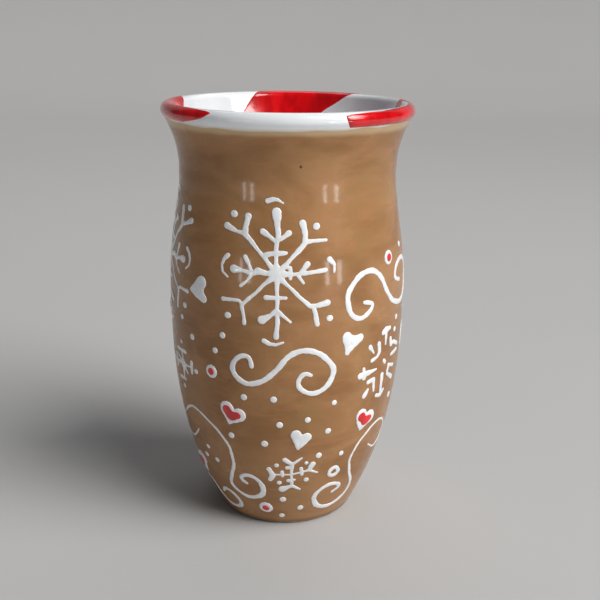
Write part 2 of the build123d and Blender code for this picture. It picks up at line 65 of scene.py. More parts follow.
@dataclass(frozen=True)
class ThrownSurface:
    """The finished outer and inner surfaces of the mug, with the marks of throwing."""

    height: float = 155 * MM
    lip_radius: float = 45 * MM
    lip_roll: float = 2.5 * MM
    lip_under_angle: float = -30.0
    lip_inner_angle: float = 165.0
    neck_radius: float = 39.2 * MM
    neck_height: float = 131 * MM
    belly_radius: float = 43.5 * MM
    belly_height: float = 84 * MM
    base_radius: float = 25.5 * MM
    lower_fullness: float = 2.5
    shoulder_hold: float = 1.35
    flare_power: float = 2.2
    wall: float = 4.4 * MM
    floor: float = 7 * MM
    floor_corner: float = 15 * MM
    floor_flat: float = 0.45
    ring_depth: float = 0.045 * MM
    ring_pitch: float = 7.5 * MM
    out_of_round: float = 0.10 * MM

    @property
    def lip_centre(self) -> Point:
        """Centre of the lip's roll, as radius and height."""
        return self.lip_radius - self.lip_roll, self.height - self.lip_roll

    def lip_point(self, angle: float, lift: float = 0.0) -> Point:
        """A point of the rolled lip.

        Args:
            angle: Degrees round the roll, from straight outwards.
            lift: Distance off the finished surface.

        Returns:
            Radius and height.
        """
        reach = self.lip_roll + lift
        centre = self.lip_centre
        return centre[0] + reach * cos(radians(angle)), centre[1] + reach * sin(radians(angle))

    def radius(self, level: np.ndarray) -> np.ndarray:
        """Radius of the finished outer surface.

        Args:
            level: Heights above the table.

        Returns:
            A radius for each height.
        """
        under_radius, under_height = self.lip_point(self.lip_under_angle)
        low = np.clip(1 - level / self.belly_height, 0, 1) ** self.lower_fullness
        body = self.belly_radius - (self.belly_radius - self.base_radius) * low
        along = np.clip((level - self.belly_height) / (self.neck_height - self.belly_height), 0, 1)
        along = along**self.shoulder_hold
        body = body - (self.belly_radius - self.neck_radius) * along**2 * (3 - 2 * along)
        flare = np.clip((level - self.neck_height) / (under_height - self.neck_height), 0, None)
        return body + (under_radius - self.neck_radius) * flare**self.flare_power

    def slope(self, level: np.ndarray) -> np.ndarray:
        """Change of the outer radius with height."""
        step = 0.05 * MM
        return (self.radius(level + step) - self.radius(level - step)) / (2 * step)

    def waver(self, azimuth: np.ndarray, level: np.ndarray) -> np.ndarray:
        """How far the hand-thrown wall strays from a true turned one.

        Args:
            azimuth: Radians round the mug.
            level: Heights above the table.

        Returns:
            Distances outwards.
        """
        climb = level / self.ring_pitch * FULL_TURN
        rings = np.sin(climb + azimuth + 0.9 * np.sin(level * 140 + 1.3))
        rings *= 0.6 + 0.4 * np.sin(level * 61 + 0.4)
        oval = np.sin(2 * azimuth + 0.6) * 0.6 + np.sin(3 * azimuth + level * 25) * 0.4
        fade = np.clip(level / (12 * MM), 0, 1)
        return fade * (self.ring_depth * rings + self.out_of_round * oval)

    def on_wall(self, azimuth: np.ndarray, level: np.ndarray, lift: np.ndarray) -> np.ndarray:
        """Points on the outer wall.

        Args:
            azimuth: Radians round the mug.
            level: Heights above the table, before the lift.
            lift: Distances off the finished surface, along its normal.

        Returns:
            An array of positions, one row for each point.
        """
        slope = self.slope(level)
        length = np.hypot(1, slope)
        reach = self.radius(level) + self.waver(azimuth, level) + lift / length
        up = level - lift * slope / length
        return np.stack([reach * np.sin(azimuth), -reach * np.cos(azimuth), up], axis=1)

    def outer_outline(self, low: float, high: float, count: int, lift: float) -> list[Point]:
        """Points up the outer wall between two heights, at a distance off it."""
        levels = np.linspace(low, high, count)
        slope = self.slope(levels)
        length = np.hypot(1, slope)
        reach = self.radius(levels) + lift / length
        return list(zip(reach.tolist(), (levels - lift * slope / length).tolist()))

    def inner_lip(self, count: int, lift: float) -> list[Point]:
        """Points of the run from the lip's roll down to where the inside wall starts."""
        start = self.lip_point(self.lip_inner_angle, lift)
        end = self.inner_outline(4, lift)[0]
        drop = start[1] - end[1]
        first = sin(radians(self.lip_inner_angle)) / cos(radians(self.lip_inner_angle)) * drop
        last = -float(self.slope(np.array(end[1]))) * drop
        points = []
        for t in np.linspace(0, 1, count + 2)[1:-1]:
            reach = start[0] * (2 * t**3 - 3 * t**2 + 1) + end[0] * (3 * t**2 - 2 * t**3)
            reach += first * (t**3 - 2 * t**2 + t) + last * (t**3 - t**2)
            points.append((float(reach), float(start[1] - drop * t)))
        return points

    def inner_outline(self, count: int, lift: float) -> list[Point]:
        """Points down the inside, from the neck to the middle of the floor."""
        low = self.floor + self.floor_corner
        top = self.neck_height + 0.5 * (self.lip_point(self.lip_under_angle)[1] - self.neck_height)
        levels = np.linspace(top, low, count)
        reach = self.radius(levels) - self.wall - lift
        points = list(zip(reach.tolist(), levels.tolist()))
        corner = points[-1][0]
        flat = self.floor_flat * (corner + lift)
        for turn in np.radians(np.linspace(8, 90, 14)):
            down = (self.floor_corner - lift) * sin(turn)
            points.append((flat + (corner - flat) * cos(turn), low - down))
        return points + [(flat * share, self.floor + lift) for share in (0.75, 0.5, 0.25, 0.0)]


# ---- Bench tools -----------------------------------------------------------


def clear_selection() -> None:
    """Deselect everything, the frame's own nodes included."""
    bpy.ops.object.select_all(action="DESELECT")


def take(piece: bpy.types.Object) -> None:
    """Make one object the only selected and active one."""
    clear_selection()
    piece.select_set(True)
    bpy.context.view_layer.objects.active = piece


def new_object(name: str, points: np.ndarray | list, edges: list, faces: list) -> bpy.types.Object:
    """Put a mesh on the bench.

    Args:
        name: The object's name.
        points: Vertex positions.
        edges: Pairs of vertex numbers.
        faces: Loops of vertex numbers.

    Returns:
        The new object, at the origin.
    """
    mesh = bpy.data.meshes.new(name)
    mesh.from_pydata([tuple(point) for point in points], edges, faces)
    piece = bpy.data.objects.new(name, mesh)
    bpy.context.scene.collection.objects.link(piece)
    take(piece)
    return piece


def mesh_points(piece: bpy.types.Object) -> np.ndarray:
    """Vertex positions of a mesh object, one row each."""
    values = np.empty(len(piece.data.vertices) * 3)
    piece.data.vertices.foreach_get("co", values)
    return values.reshape(-1, 3)


def set_points(piece: bpy.types.Object, points: np.ndarray) -> None:
    """Move the vertices of a mesh object."""
    piece.data.vertices.foreach_set("co", points.ravel())
    piece.data.update()


def set_attribute(piece: bpy.types.Object, name: str, values: np.ndarray) -> None:
    """Store a number at every vertex for a finish to read."""
    attribute = piece.data.attributes.new(name, "FLOAT", "POINT")
    attribute.data.foreach_set("value", values.astype(np.float32))


def spin_outline(name: str, outline: list[Point], steps: int, closed: bool) -> bpy.types.Object:
    """Turn a half section round the mug's axis, as on a wheel.

    Args:
        name: The object's name.
        outline: Radius and height of each point.
        steps: Number of columns round the mug.
        closed: Whether the last point joins the first.

    Returns:
        The turned object, closed and facing outwards.
    """
    points = [(reach, 0.0, level) for reach, level in outline]
    edges = [(k, k + 1) for k in range(len(points) - 1)]
    if closed:
        edges.append((len(points) - 1, 0))
    piece = new_object(name, points, edges, [])
    bpy.ops.object.mode_set(mode="EDIT")
    bpy.ops.mesh.select_all(action="SELECT")
    bpy.ops.mesh.spin(steps=steps, angle=FULL_TURN, center=(0, 0, 0), axis=(0, 0, 1))
    bpy.ops.mesh.select_all(action="SELECT")
    bpy.ops.mesh.remove_doubles(threshold=0.002 * MM)
    bpy.ops.mesh.normals_make_consistent(inside=False)
    bpy.ops.object.mode_set(mode="OBJECT")
    bpy.ops.object.shade_smooth()
    return piece


def hand_noise(seed: int, turns: np.ndarray, waves: tuple[int, ...]) -> np.ndarray:
    """A wavering line round the mug that closes on itself.

    Args:
        seed: Chooses the line.
        turns: Radians round the mug.
        waves: Number of waves in each part of the line.

    Returns:
        Values between about -1 and 1.
    """
    draw = np.random.default_rng(seed)
    total = np.zeros_like(turns)
    for wave in waves:
        total += draw.uniform(0.4, 1.0) * np.sin(wave * turns + draw.uniform(0, FULL_TURN))
    return total / len(waves)


# ---- Finishes --------------------------------------------------------------

Colour = tuple[float, float, float]


class ShaderBench:
    """Builds one node material."""

    def __init__(self, name: str) -> None:
        """Start a material with one main shader."""
        self.material = bpy.data.materials.new(name)
        self.material.use_nodes = True
        self.tree = self.material.node_tree
        self.main = self.tree.nodes["Principled BSDF"]
        self.place = self.tree.nodes.new("ShaderNodeTexCoord").outputs["Object"]

    def link(self, source: bpy.types.NodeSocket, target: bpy.types.NodeSocket) -> None:
        """Join two sockets."""
        self.tree.links.new(source, target)

    def node(self, kind: str, **settings: object) -> bpy.types.Node:
        """Add a node and set its properties."""
        made = self.tree.nodes.new(kind)
        for key, value in settings.items():
            setattr(made, key, value)
        return made

    def stretched(self, scale: Colour) -> bpy.types.NodeSocket:
        """Positions on the object, stretched along each axis."""
        mapping = self.node("ShaderNodeMapping")
        mapping.inputs["Scale"].default_value = scale
        self.link(self.place, mapping.inputs["Vector"])
        return mapping.outputs["Vector"]

    def noise(
        self, scale: float, detail: float = 3.0, stretch: Colour = (1, 1, 1), warp: float = 0.0
    ) -> bpy.types.NodeSocket:
        """Cloudy noise.

        Args:
            scale: Cells to the metre.
            detail: How many finer layers it has.
            stretch: Scale along each axis.
            warp: How far it is distorted.

        Returns:
            The noise value.
        """
        made = self.node("ShaderNodeTexNoise")
        made.inputs["Scale"].default_value = scale
        made.inputs["Detail"].default_value = detail
        made.inputs["Distortion"].default_value = warp
        self.link(self.stretched(stretch), made.inputs["Vector"])
        return made.outputs["Fac"]

    def spot(self, place: tuple[float, float, float], radius: float) -> bpy.types.NodeSocket:
        """A soft-edged round mask at one place on the piece.

        Args:
            place: The spot's centre.
            radius: Where it has faded out.

        Returns:
            Most at the centre and nought past the radius.
        """
        reach = self.node("ShaderNodeVectorMath", operation="DISTANCE")
        self.link(self.place, reach.inputs[0])
        reach.inputs[1].default_value = place
        return self.between(reach.outputs["Value"], radius * 0.4, radius, 0.8, 0)

    def specks(self, scale: float, size: float) -> bpy.types.NodeSocket:
        """Scattered small spots.

        Args:
            scale: Cells to the metre.
            size: Radius of a spot, as a share of a cell.

        Returns:
            One inside a spot and nought outside it.
        """
        cells = self.node("ShaderNodeTexVoronoi")
        cells.inputs["Scale"].default_value = scale
        self.link(self.place, cells.inputs["Vector"])
        return self.between(cells.outputs["Distance"], size, size * 0.45, 0.0, 1.0)

    def between(
        self, value: bpy.types.NodeSocket, low: float, high: float, first: float, last: float
    ) -> bpy.types.NodeSocket:
        """A value carried smoothly from one range to another.

        Args:
            value: What is carried.
            low: Where the first result is reached.
            high: Where the last result is reached.
            first: Result at low.
            last: Result at high.

        Returns:
            The carried value.
        """
        made = self.node("ShaderNodeMapRange", interpolation_type="SMOOTHSTEP")
        self.link(value, made.inputs["Value"])
        made.inputs["From Min"].default_value = low
        made.inputs["From Max"].default_value = high
        made.inputs["To Min"].default_value = first
        made.inputs["To Max"].default_value = last
        return made.outputs["Result"]

    def attribute(self, name: str) -> bpy.types.NodeSocket:
        """A number stored at every vertex."""
        return self.node("ShaderNodeAttribute", attribute_name=name).outputs["Fac"]

    def mix(
        self,
        share: bpy.types.NodeSocket,
        first: Colour | bpy.types.NodeSocket,
        last: Colour | bpy.types.NodeSocket,
    ) -> bpy.types.NodeSocket:
        """Two colours mixed by a share.

        Args:
            share: Nought for the first colour and one for the last.
            first: A colour, or the socket of one.
            last: A colour, or the socket of one.

        Returns:
            The mixed colour.
        """
        made = self.node("ShaderNodeMix", data_type="RGBA")
        self.link(share, made.inputs["Factor"])
        for key, colour in (("A", first), ("B", last)):
            socket = next(s for s in made.inputs if s.name == key and s.type == "RGBA")
            if isinstance(colour, tuple):
                socket.default_value = (*colour, 1.0)
            else:
                self.link(colour, socket)
        return next(s for s in made.outputs if s.type == "RGBA")

    def bump(self, *layers: tuple[bpy.types.NodeSocket, float]) -> bpy.types.NodeSocket:
        """Relief made of layers, each a height and how deep it is in metres."""
        normal = None
        for height, depth in layers:
            made = self.node("ShaderNodeBump")
            made.inputs["Distance"].default_value = depth
            made.inputs["Strength"].default_value = 1.0
            self.link(height, made.inputs["Height"])
            if normal is not None:
                self.link(normal, made.inputs["Normal"])
            normal = made.outputs["Normal"]
        return normal

    def finish(
        self,
        colour: bpy.types.NodeSocket,
        roughness: bpy.types.NodeSocket,
        normal: bpy.types.NodeSocket,
        coat: float,
        coat_roughness: float,
        gloss: float = 0.5,
    ) -> bpy.types.Material:
        """Wire the layers into the main shader.

        Args:
            colour: Colour of the body.
            roughness: Roughness of the body.
            normal: Relief.
            coat: Weight of the clear coat over it.
            coat_roughness: Roughness of the clear coat.
            gloss: Strength of the body's own shine.

        Returns:
            The finished material.
        """
        self.link(colour, self.main.inputs["Base Color"])
        self.link(roughness, self.main.inputs["Roughness"])
        self.link(normal, self.main.inputs["Normal"])
        self.main.inputs["Specular IOR Level"].default_value = gloss
        self.main.inputs["Coat Weight"].default_value = coat
        self.main.inputs["Coat Roughness"].default_value = coat_roughness
        self.main.inputs["Coat IOR"].default_value = 1.52
        return self.material


@dataclass(frozen=True)
class BrownGlaze:
    """Gingerbread-brown glaze brushed on in several coats, glossy, with a few pinholes."""

    light: Colour = (0.42, 0.225, 0.100)
    dark: Colour = (0.30, 0.148, 0.058)
    rosy: Colour = (0.45, 0.20, 0.092)
    olive: Colour = (0.34, 0.198, 0.078)
    pinhole: Colour = (0.035, 0.018, 0.01)
    edge: Colour = (0.15, 0.07, 0.03)
    pale: Colour = (0.60, 0.43, 0.25)
    pinhole_place: tuple[float, float, float] = (4.85 * MM, -39.5 * MM, 137.7 * MM)
    pinhole_radius: float = 0.72 * MM

    def make(self) -> bpy.types.Material:
        """Build the material."""
        bench = ShaderBench("brown_glaze_finish")
        cloud = bench.noise(38, 4, (1, 1, 1.6), 0.6)
        brush = bench.noise(95, 3, (1, 1, 4.5), 0.8)
        patch = bench.noise(62, 2, (1.3, 1.3, 1), 0.3)
        colour = bench.mix(bench.between(cloud, 0.34, 0.66, 0, 1), self.dark, self.light)
        colour = bench.mix(bench.between(brush, 0.46, 0.70, 0, 0.45), colour, self.rosy)
        colour = bench.mix(bench.between(patch, 0.52, 0.72, 0, 0.45), colour, self.olive)
        grain = bench.noise(900, 2)
        colour = bench.mix(bench.between(grain, 0.58, 0.74, 0, 0.22), colour, self.dark)
        colour = bench.mix(bench.specks(120, 0.045), colour, self.pinhole)
        colour = bench.mix(bench.spot(self.pinhole_place, self.pinhole_radius), colour, self.pinhole)
        colour = bench.mix(bench.between(bench.attribute("pale"), 0.1, 1.0, 0, 1), colour, self.pale)
        colour = bench.mix(bench.attribute("thin"), colour, self.edge)
        roughness = bench.between(cloud, 0.3, 0.7, 0.20, 0.30)
        normal = bench.bump(
            (bench.noise(420, 2), 0.00003),
            (bench.noise(110, 2, (1, 1, 2.2)), 0.00012),
            (bench.noise(30, 2, (1, 1, 3)), 0.0003),
        )
        return bench.finish(colour, roughness, normal, 0.24, 0.10, 0.14)


@dataclass(frozen=True)
class WhiteGlaze:
    """Cool white liner glaze that thins to cream where it runs out over the brown."""

    white: Colour = (0.90, 0.93, 0.96)
    shade: Colour = (0.82, 0.86, 0.90)
    cream: Colour = (0.72, 0.58, 0.40)
    speck: Colour = (0.36, 0.27, 0.18)

    def make(self) -> bpy.types.Material:
        """Build the material."""
        bench = ShaderBench("white_glaze_finish")
        cloud = bench.noise(55, 4, (1, 1, 0.5), 0.4)
        colour = bench.mix(bench.between(cloud, 0.38, 0.64, 0, 1), self.shade, self.white)
        colour = bench.mix(bench.specks(260, 0.05), colour, self.speck)
        colour = bench.mix(bench.attribute("thin"), colour, self.cream)
        roughness = bench.between(cloud, 0.3, 0.7, 0.12, 0.2)
        normal = bench.bump(
            (bench.noise(260, 2), 0.00003), (bench.noise(70, 2, (1, 1, 2)), 0.0001)
        )
        return bench.finish(colour, roughness, normal, 0.7, 0.03)


@dataclass(frozen=True)
class RedGlaze:
    """Bright red brushed on in strokes, clear-glazed, a little paler where it is thin."""

    deep: Colour = (0.55, 0.0, 0.003)
    bright: Colour = (0.86, 0.0, 0.004)
    thin: Colour = (0.80, 0.06, 0.06)

    def make(self) -> bpy.types.Material:
        """Build the material."""
        bench = ShaderBench("red_glaze_finish")
        brush = bench.noise(160, 4, (1, 1, 0.22), 0.3)
        blotch = bench.noise(420, 3)
        colour = bench.mix(bench.between(brush, 0.36, 0.66, 0, 1), self.deep, self.bright)
        colour = bench.mix(bench.between(blotch, 0.55, 0.75, 0, 0.35), colour, self.deep)
        colour = bench.mix(bench.attribute("thin"), colour, self.thin)
        roughness = bench.between(brush, 0.3, 0.7, 0.14, 0.24)
        normal = bench.bump((bench.noise(330, 2), 0.00003), (brush, 0.00006))
        return bench.finish(colour, roughness, normal, 0.65, 0.035)


@dataclass(frozen=True)
class WhiteSlip:
    """Thick white slip trailed on the brown, glossy, a little tan at its thin edges."""

    white: Colour = (0.93, 0.95, 0.97)
    shade: Colour = (0.84, 0.87, 0.90)
    thin: Colour = (0.66, 0.48, 0.33)

    def make(self) -> bpy.types.Material:
        """Build the material."""
        bench = ShaderBench("white_slip_finish")
        cloud = bench.noise(180, 3)
        colour = bench.mix(bench.between(cloud, 0.36, 0.62, 0, 1), self.shade, self.white)
        colour = bench.mix(bench.attribute("thin"), colour, self.thin)
        roughness = bench.between(cloud, 0.3, 0.7, 0.22, 0.34)
        normal = bench.bump((bench.noise(700, 2), 0.00003))
        return bench.finish(colour, roughness, normal, 0.45, 0.06)


@dataclass(frozen=True)
class BareClay:
    """Unglazed buff stoneware with iron specks, ringed by the trimming tool."""

    buff: Colour = (0.56, 0.43, 0.29)
    toast: Colour = (0.40, 0.26, 0.15)
    iron: Colour = (0.09, 0.05, 0.03)

    def make(self) -> bpy.types.Material:
        """Build the material."""
        bench = ShaderBench("bare_clay_finish")
        cloud = bench.noise(90, 5)
        colour = bench.mix(bench.between(cloud, 0.36, 0.66, 0, 1), self.toast, self.buff)
        colour = bench.mix(bench.specks(420, 0.12), colour, self.iron)
        grain = bench.noise(1800, 3)
        colour = bench.mix(bench.between(grain, 0.55, 0.75, 0, 0.4), colour, self.toast)
        roughness = bench.between(cloud, 0.3, 0.7, 0.78, 0.92)
        normal = bench.bump((grain, 0.00012), (bench.noise(300, 3), 0.00015))
        return bench.finish(colour, roughness, normal, 0.0, 0.5)


class Glaze(Enum):
    """The finishes that a piece can have."""

    BROWN = "brown_glaze"
    WHITE = "white_glaze"
    RED = "red_glaze"
    SLIP = "white_slip"
    CLAY = "bare_clay"


class GlazeShelf:
    """One material for each finish, made once and shared."""

    def __init__(self) -> None:
        """Make all the finishes."""
        self.materials = {
            Glaze.BROWN: BrownGlaze().make(),
            Glaze.WHITE: WhiteGlaze().make(),
            Glaze.RED: RedGlaze().make(),
            Glaze.SLIP: WhiteSlip().make(),
            Glaze.CLAY: BareClay().make(),
        }

    def dress(self, piece: bpy.types.Object, glaze: Glaze, *nodes: str) -> None:
        """Give a piece its finish and its place in the frame.

        Args:
            piece: The finished piece.
            glaze: Its finish.
            nodes: The frame's nodes that it stands for.
        """
        piece.data.materials.clear()
        piece.data.materials.append(self.materials[glaze])
        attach(piece, "root")
        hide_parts(*nodes)
        log.info("%s: %d faces", piece.name, len(piece.data.polygons))


# ---- The body and its two coats --------------------------------------------


@dataclass
class ThrownBody:
    """The clay wall. Only its foot ring shows, so the rest is plainly turned."""

    surface: ThrownSurface
    glaze: float = 0.4 * MM
    foot_round: float = 1.2 * MM
    ring_width: float = 5 * MM
    recess: float = 1.8 * MM
    bevel: float = 1 * MM
    groove: float = 0.12 * MM
    groove_pitch: float = 1.6 * MM
    steps: int = 256

    def outline(self) -> list[Point]:
        """Half section of the clay, from the middle of the hollow under the foot."""
        surface = self.surface
        start = surface.outer_outline(0.84 * MM, 8 * MM, 10, -self.glaze)
        ring_outer = start[0][0] - self.foot_round + 0.3 * MM
        ring_inner = ring_outer - self.ring_width
        hollow = ring_inner - self.bevel
        points = []
        for reach in np.linspace(0, hollow, 60):
            ridge = self.groove * (0.5 - 0.5 * cos(reach / self.groove_pitch * FULL_TURN))
            points.append((float(reach), self.recess - ridge + 0.25 * MM * (1 - reach / hollow)))
        points += [(hollow + 0.35 * MM, self.recess * 0.78), (ring_inner - 0.15 * MM, 0.25 * MM)]
        points += [(ring_inner + 0.25 * MM, 0.03 * MM), (ring_inner + 1.2 * MM, 0.0)]
        points += [(ring_outer - 1.0 * MM, 0.0), (ring_outer - 0.25 * MM, 0.06 * MM)]
        points += [(ring_outer + 0.35 * MM, 0.32 * MM)]
        points += start + surface.outer_outline(14 * MM, 148 * MM, 50, -self.glaze)
        turns = np.linspace(surface.lip_under_angle, surface.lip_inner_angle, 12)
        points += [surface.lip_point(turn, -self.glaze) for turn in turns]
        points += surface.inner_lip(6, -self.glaze)
        return points + surface.inner_outline(40, -self.glaze)

    def build(self, shelf: GlazeShelf) -> bpy.types.Object:
        """Turn the body, true it up to the thrown wall and dress it."""
        piece = spin_outline("thrown_body", self.outline(), self.steps, closed=False)
        points = mesh_points(piece)
        azimuth = np.arctan2(points[:, 0], -points[:, 1])
        reach = np.hypot(points[:, 0], points[:, 1])
        moved = reach + self.surface.waver(azimuth, points[:, 2])
        scale = np.where(reach > 0.5 * MM, moved / np.maximum(reach, 0.5 * MM), 1.0)
        points[:, :2] *= scale[:, None]
        set_points(piece, points)
        shelf.dress(piece, Glaze.CLAY, "clay_body")
        return piece


@dataclass
class BrownCoat:
    """The brown glaze: a closed skin from the foot up to under the white lip."""

    surface: ThrownSurface
    foot_edge: float = 1.3 * MM
    top_edge: float = 150.6 * MM
    thickness: float = 0.4 * MM
    edge_waver: float = 0.25 * MM
    edge_band: float = 1.6 * MM
    pale_drop: float = 1.9 * MM
    pale_band: float = 3.0 * MM
    pale_waver: float = 0.4 * MM
    pale_climb: float = 0.6 * MM
    rows: int = 170
    steps: int = 384

    def build(self, shelf: GlazeShelf) -> bpy.types.Object:
        """Turn the coat, let its lower edge waver, and dress it."""
        surface = self.surface
        front = surface.outer_outline(self.foot_edge + 0.5 * MM, self.top_edge, self.rows, 0.0)
        bead = [
            (front[0][0] - 0.33 * MM, self.foot_edge),
            (front[0][0] - 0.18 * MM, self.foot_edge + 0.1 * MM),
            (front[0][0] - 0.06 * MM, self.foot_edge + 0.25 * MM),
        ]
        back = surface.outer_outline(self.foot_edge + 0.4 * MM, self.top_edge, 40, -self.thickness)
        piece = spin_outline("brown_coat", bead + front + back[::-1], self.steps, closed=True)
        points = mesh_points(piece)
        azimuth = np.arctan2(points[:, 0], -points[:, 1])
        reach = np.hypot(points[:, 0], points[:, 1])
        level = points[:, 2]
        points[:, :2] *= ((reach + surface.waver(azimuth, level)) / reach)[:, None]
        near = np.clip(1 - (level - self.foot_edge) / (4 * MM), 0, 1)
        points[:, 2] += near * self.edge_waver * hand_noise(4, azimuth, (3, 5, 9, 14))
        set_points(piece, points)
        thin = np.clip(1 - (level - self.foot_edge) / self.edge_band, 0, 1)
        set_attribute(piece, "thin", thin * 0.75)
        joint = self.top_edge - self.pale_drop
        joint = joint + self.pale_waver * hand_noise(12, azimuth, (2, 5, 9, 16, 27))
        joint += self.pale_climb * (1 - np.cos(azimuth + LOWEST_EDGE)) / 2
        pale = np.clip(1 - (joint - level) / (self.pale_band * (1.15 - 0.5 * np.cos(azimuth))), 0, 1)
        set_attribute(piece, "pale", pale)
        shelf.dress(piece, Glaze.BROWN, "brown_glaze")
        return piece


@dataclass
class WhiteCoat:
    """The white liner: inside, lip, and a band that laps over the top of the brown."""

    surface: ThrownSurface
    edge: float = 149.2 * MM
    edge_waver: float = 0.4 * MM
    edge_climb: float = 1.5 * MM
    lap: float = 0.10 * MM
    thickness: float = 0.5 * MM
    thin_band: float = 1.1 * MM
    steps: int = 400

    def build(self, shelf: GlazeShelf) -> bpy.types.Object:
        """Turn the coat, let its lower edge waver, and dress it."""
        surface = self.surface
        under = surface.lip_point(surface.lip_under_angle)[1]
        climb = surface.outer_outline(self.edge, under, 14, 0.0)
        swell = [self.lap * sin(min(1.0, k / 5) * pi / 2) for k in range(len(climb))]
        front = [(reach + lift, level) for (reach, level), lift in zip(climb, swell)]
        turns = np.linspace(surface.lip_under_angle, surface.lip_inner_angle, 34)
        lifts = np.linspace(self.lap, 0.0, 34)
        front += [surface.lip_point(turn, lift) for turn, lift in zip(turns[1:], lifts[1:])]
        front += surface.inner_lip(14, 0.0) + surface.inner_outline(90, 0.0)
        back = [(reach - 0.25 * MM, level + 0.1 * MM) for reach, level in climb[::4]]
        back += [surface.lip_point(turn, -self.thickness) for turn in turns[::4]]
        back += surface.inner_lip(4, -self.thickness)
        back += surface.inner_outline(30, -self.thickness)
        piece = spin_outline("white_liner", front + back[::-1][1:], self.steps, closed=True)
        points = mesh_points(piece)
        azimuth = np.arctan2(points[:, 0], -points[:, 1])
        reach = np.hypot(points[:, 0], points[:, 1])
        level = points[:, 2].copy()
        moved = reach + surface.waver(azimuth, level) * np.clip(reach / surface.neck_radius, 0, 1)
        scale = np.where(reach > 1 * MM, moved / np.maximum(reach, 1 * MM), 1.0)
        points[:, :2] *= scale[:, None]
        outside = reach > surface.radius(level) - 1 * MM
        near = np.clip(1 - (level - self.edge) / (2.6 * MM), 0, 1) * outside
        drop = self.edge_waver * (hand_noise(11, azimuth, (2, 3, 7, 11, 17)) - 0.2)
        drop += self.edge_climb * (1 - np.cos(azimuth + LOWEST_EDGE)) / 2
        points[:, 2] += near * drop
        set_points(piece, points)
        thin = np.clip(1 - (level - self.edge) / self.thin_band, 0, 1) * outside
        set_attribute(piece, "thin", thin)
        shelf.dress(piece, Glaze.WHITE, "liner_glaze")
        return piece


# ---- Red brushed over the lip ----------------------------------------------


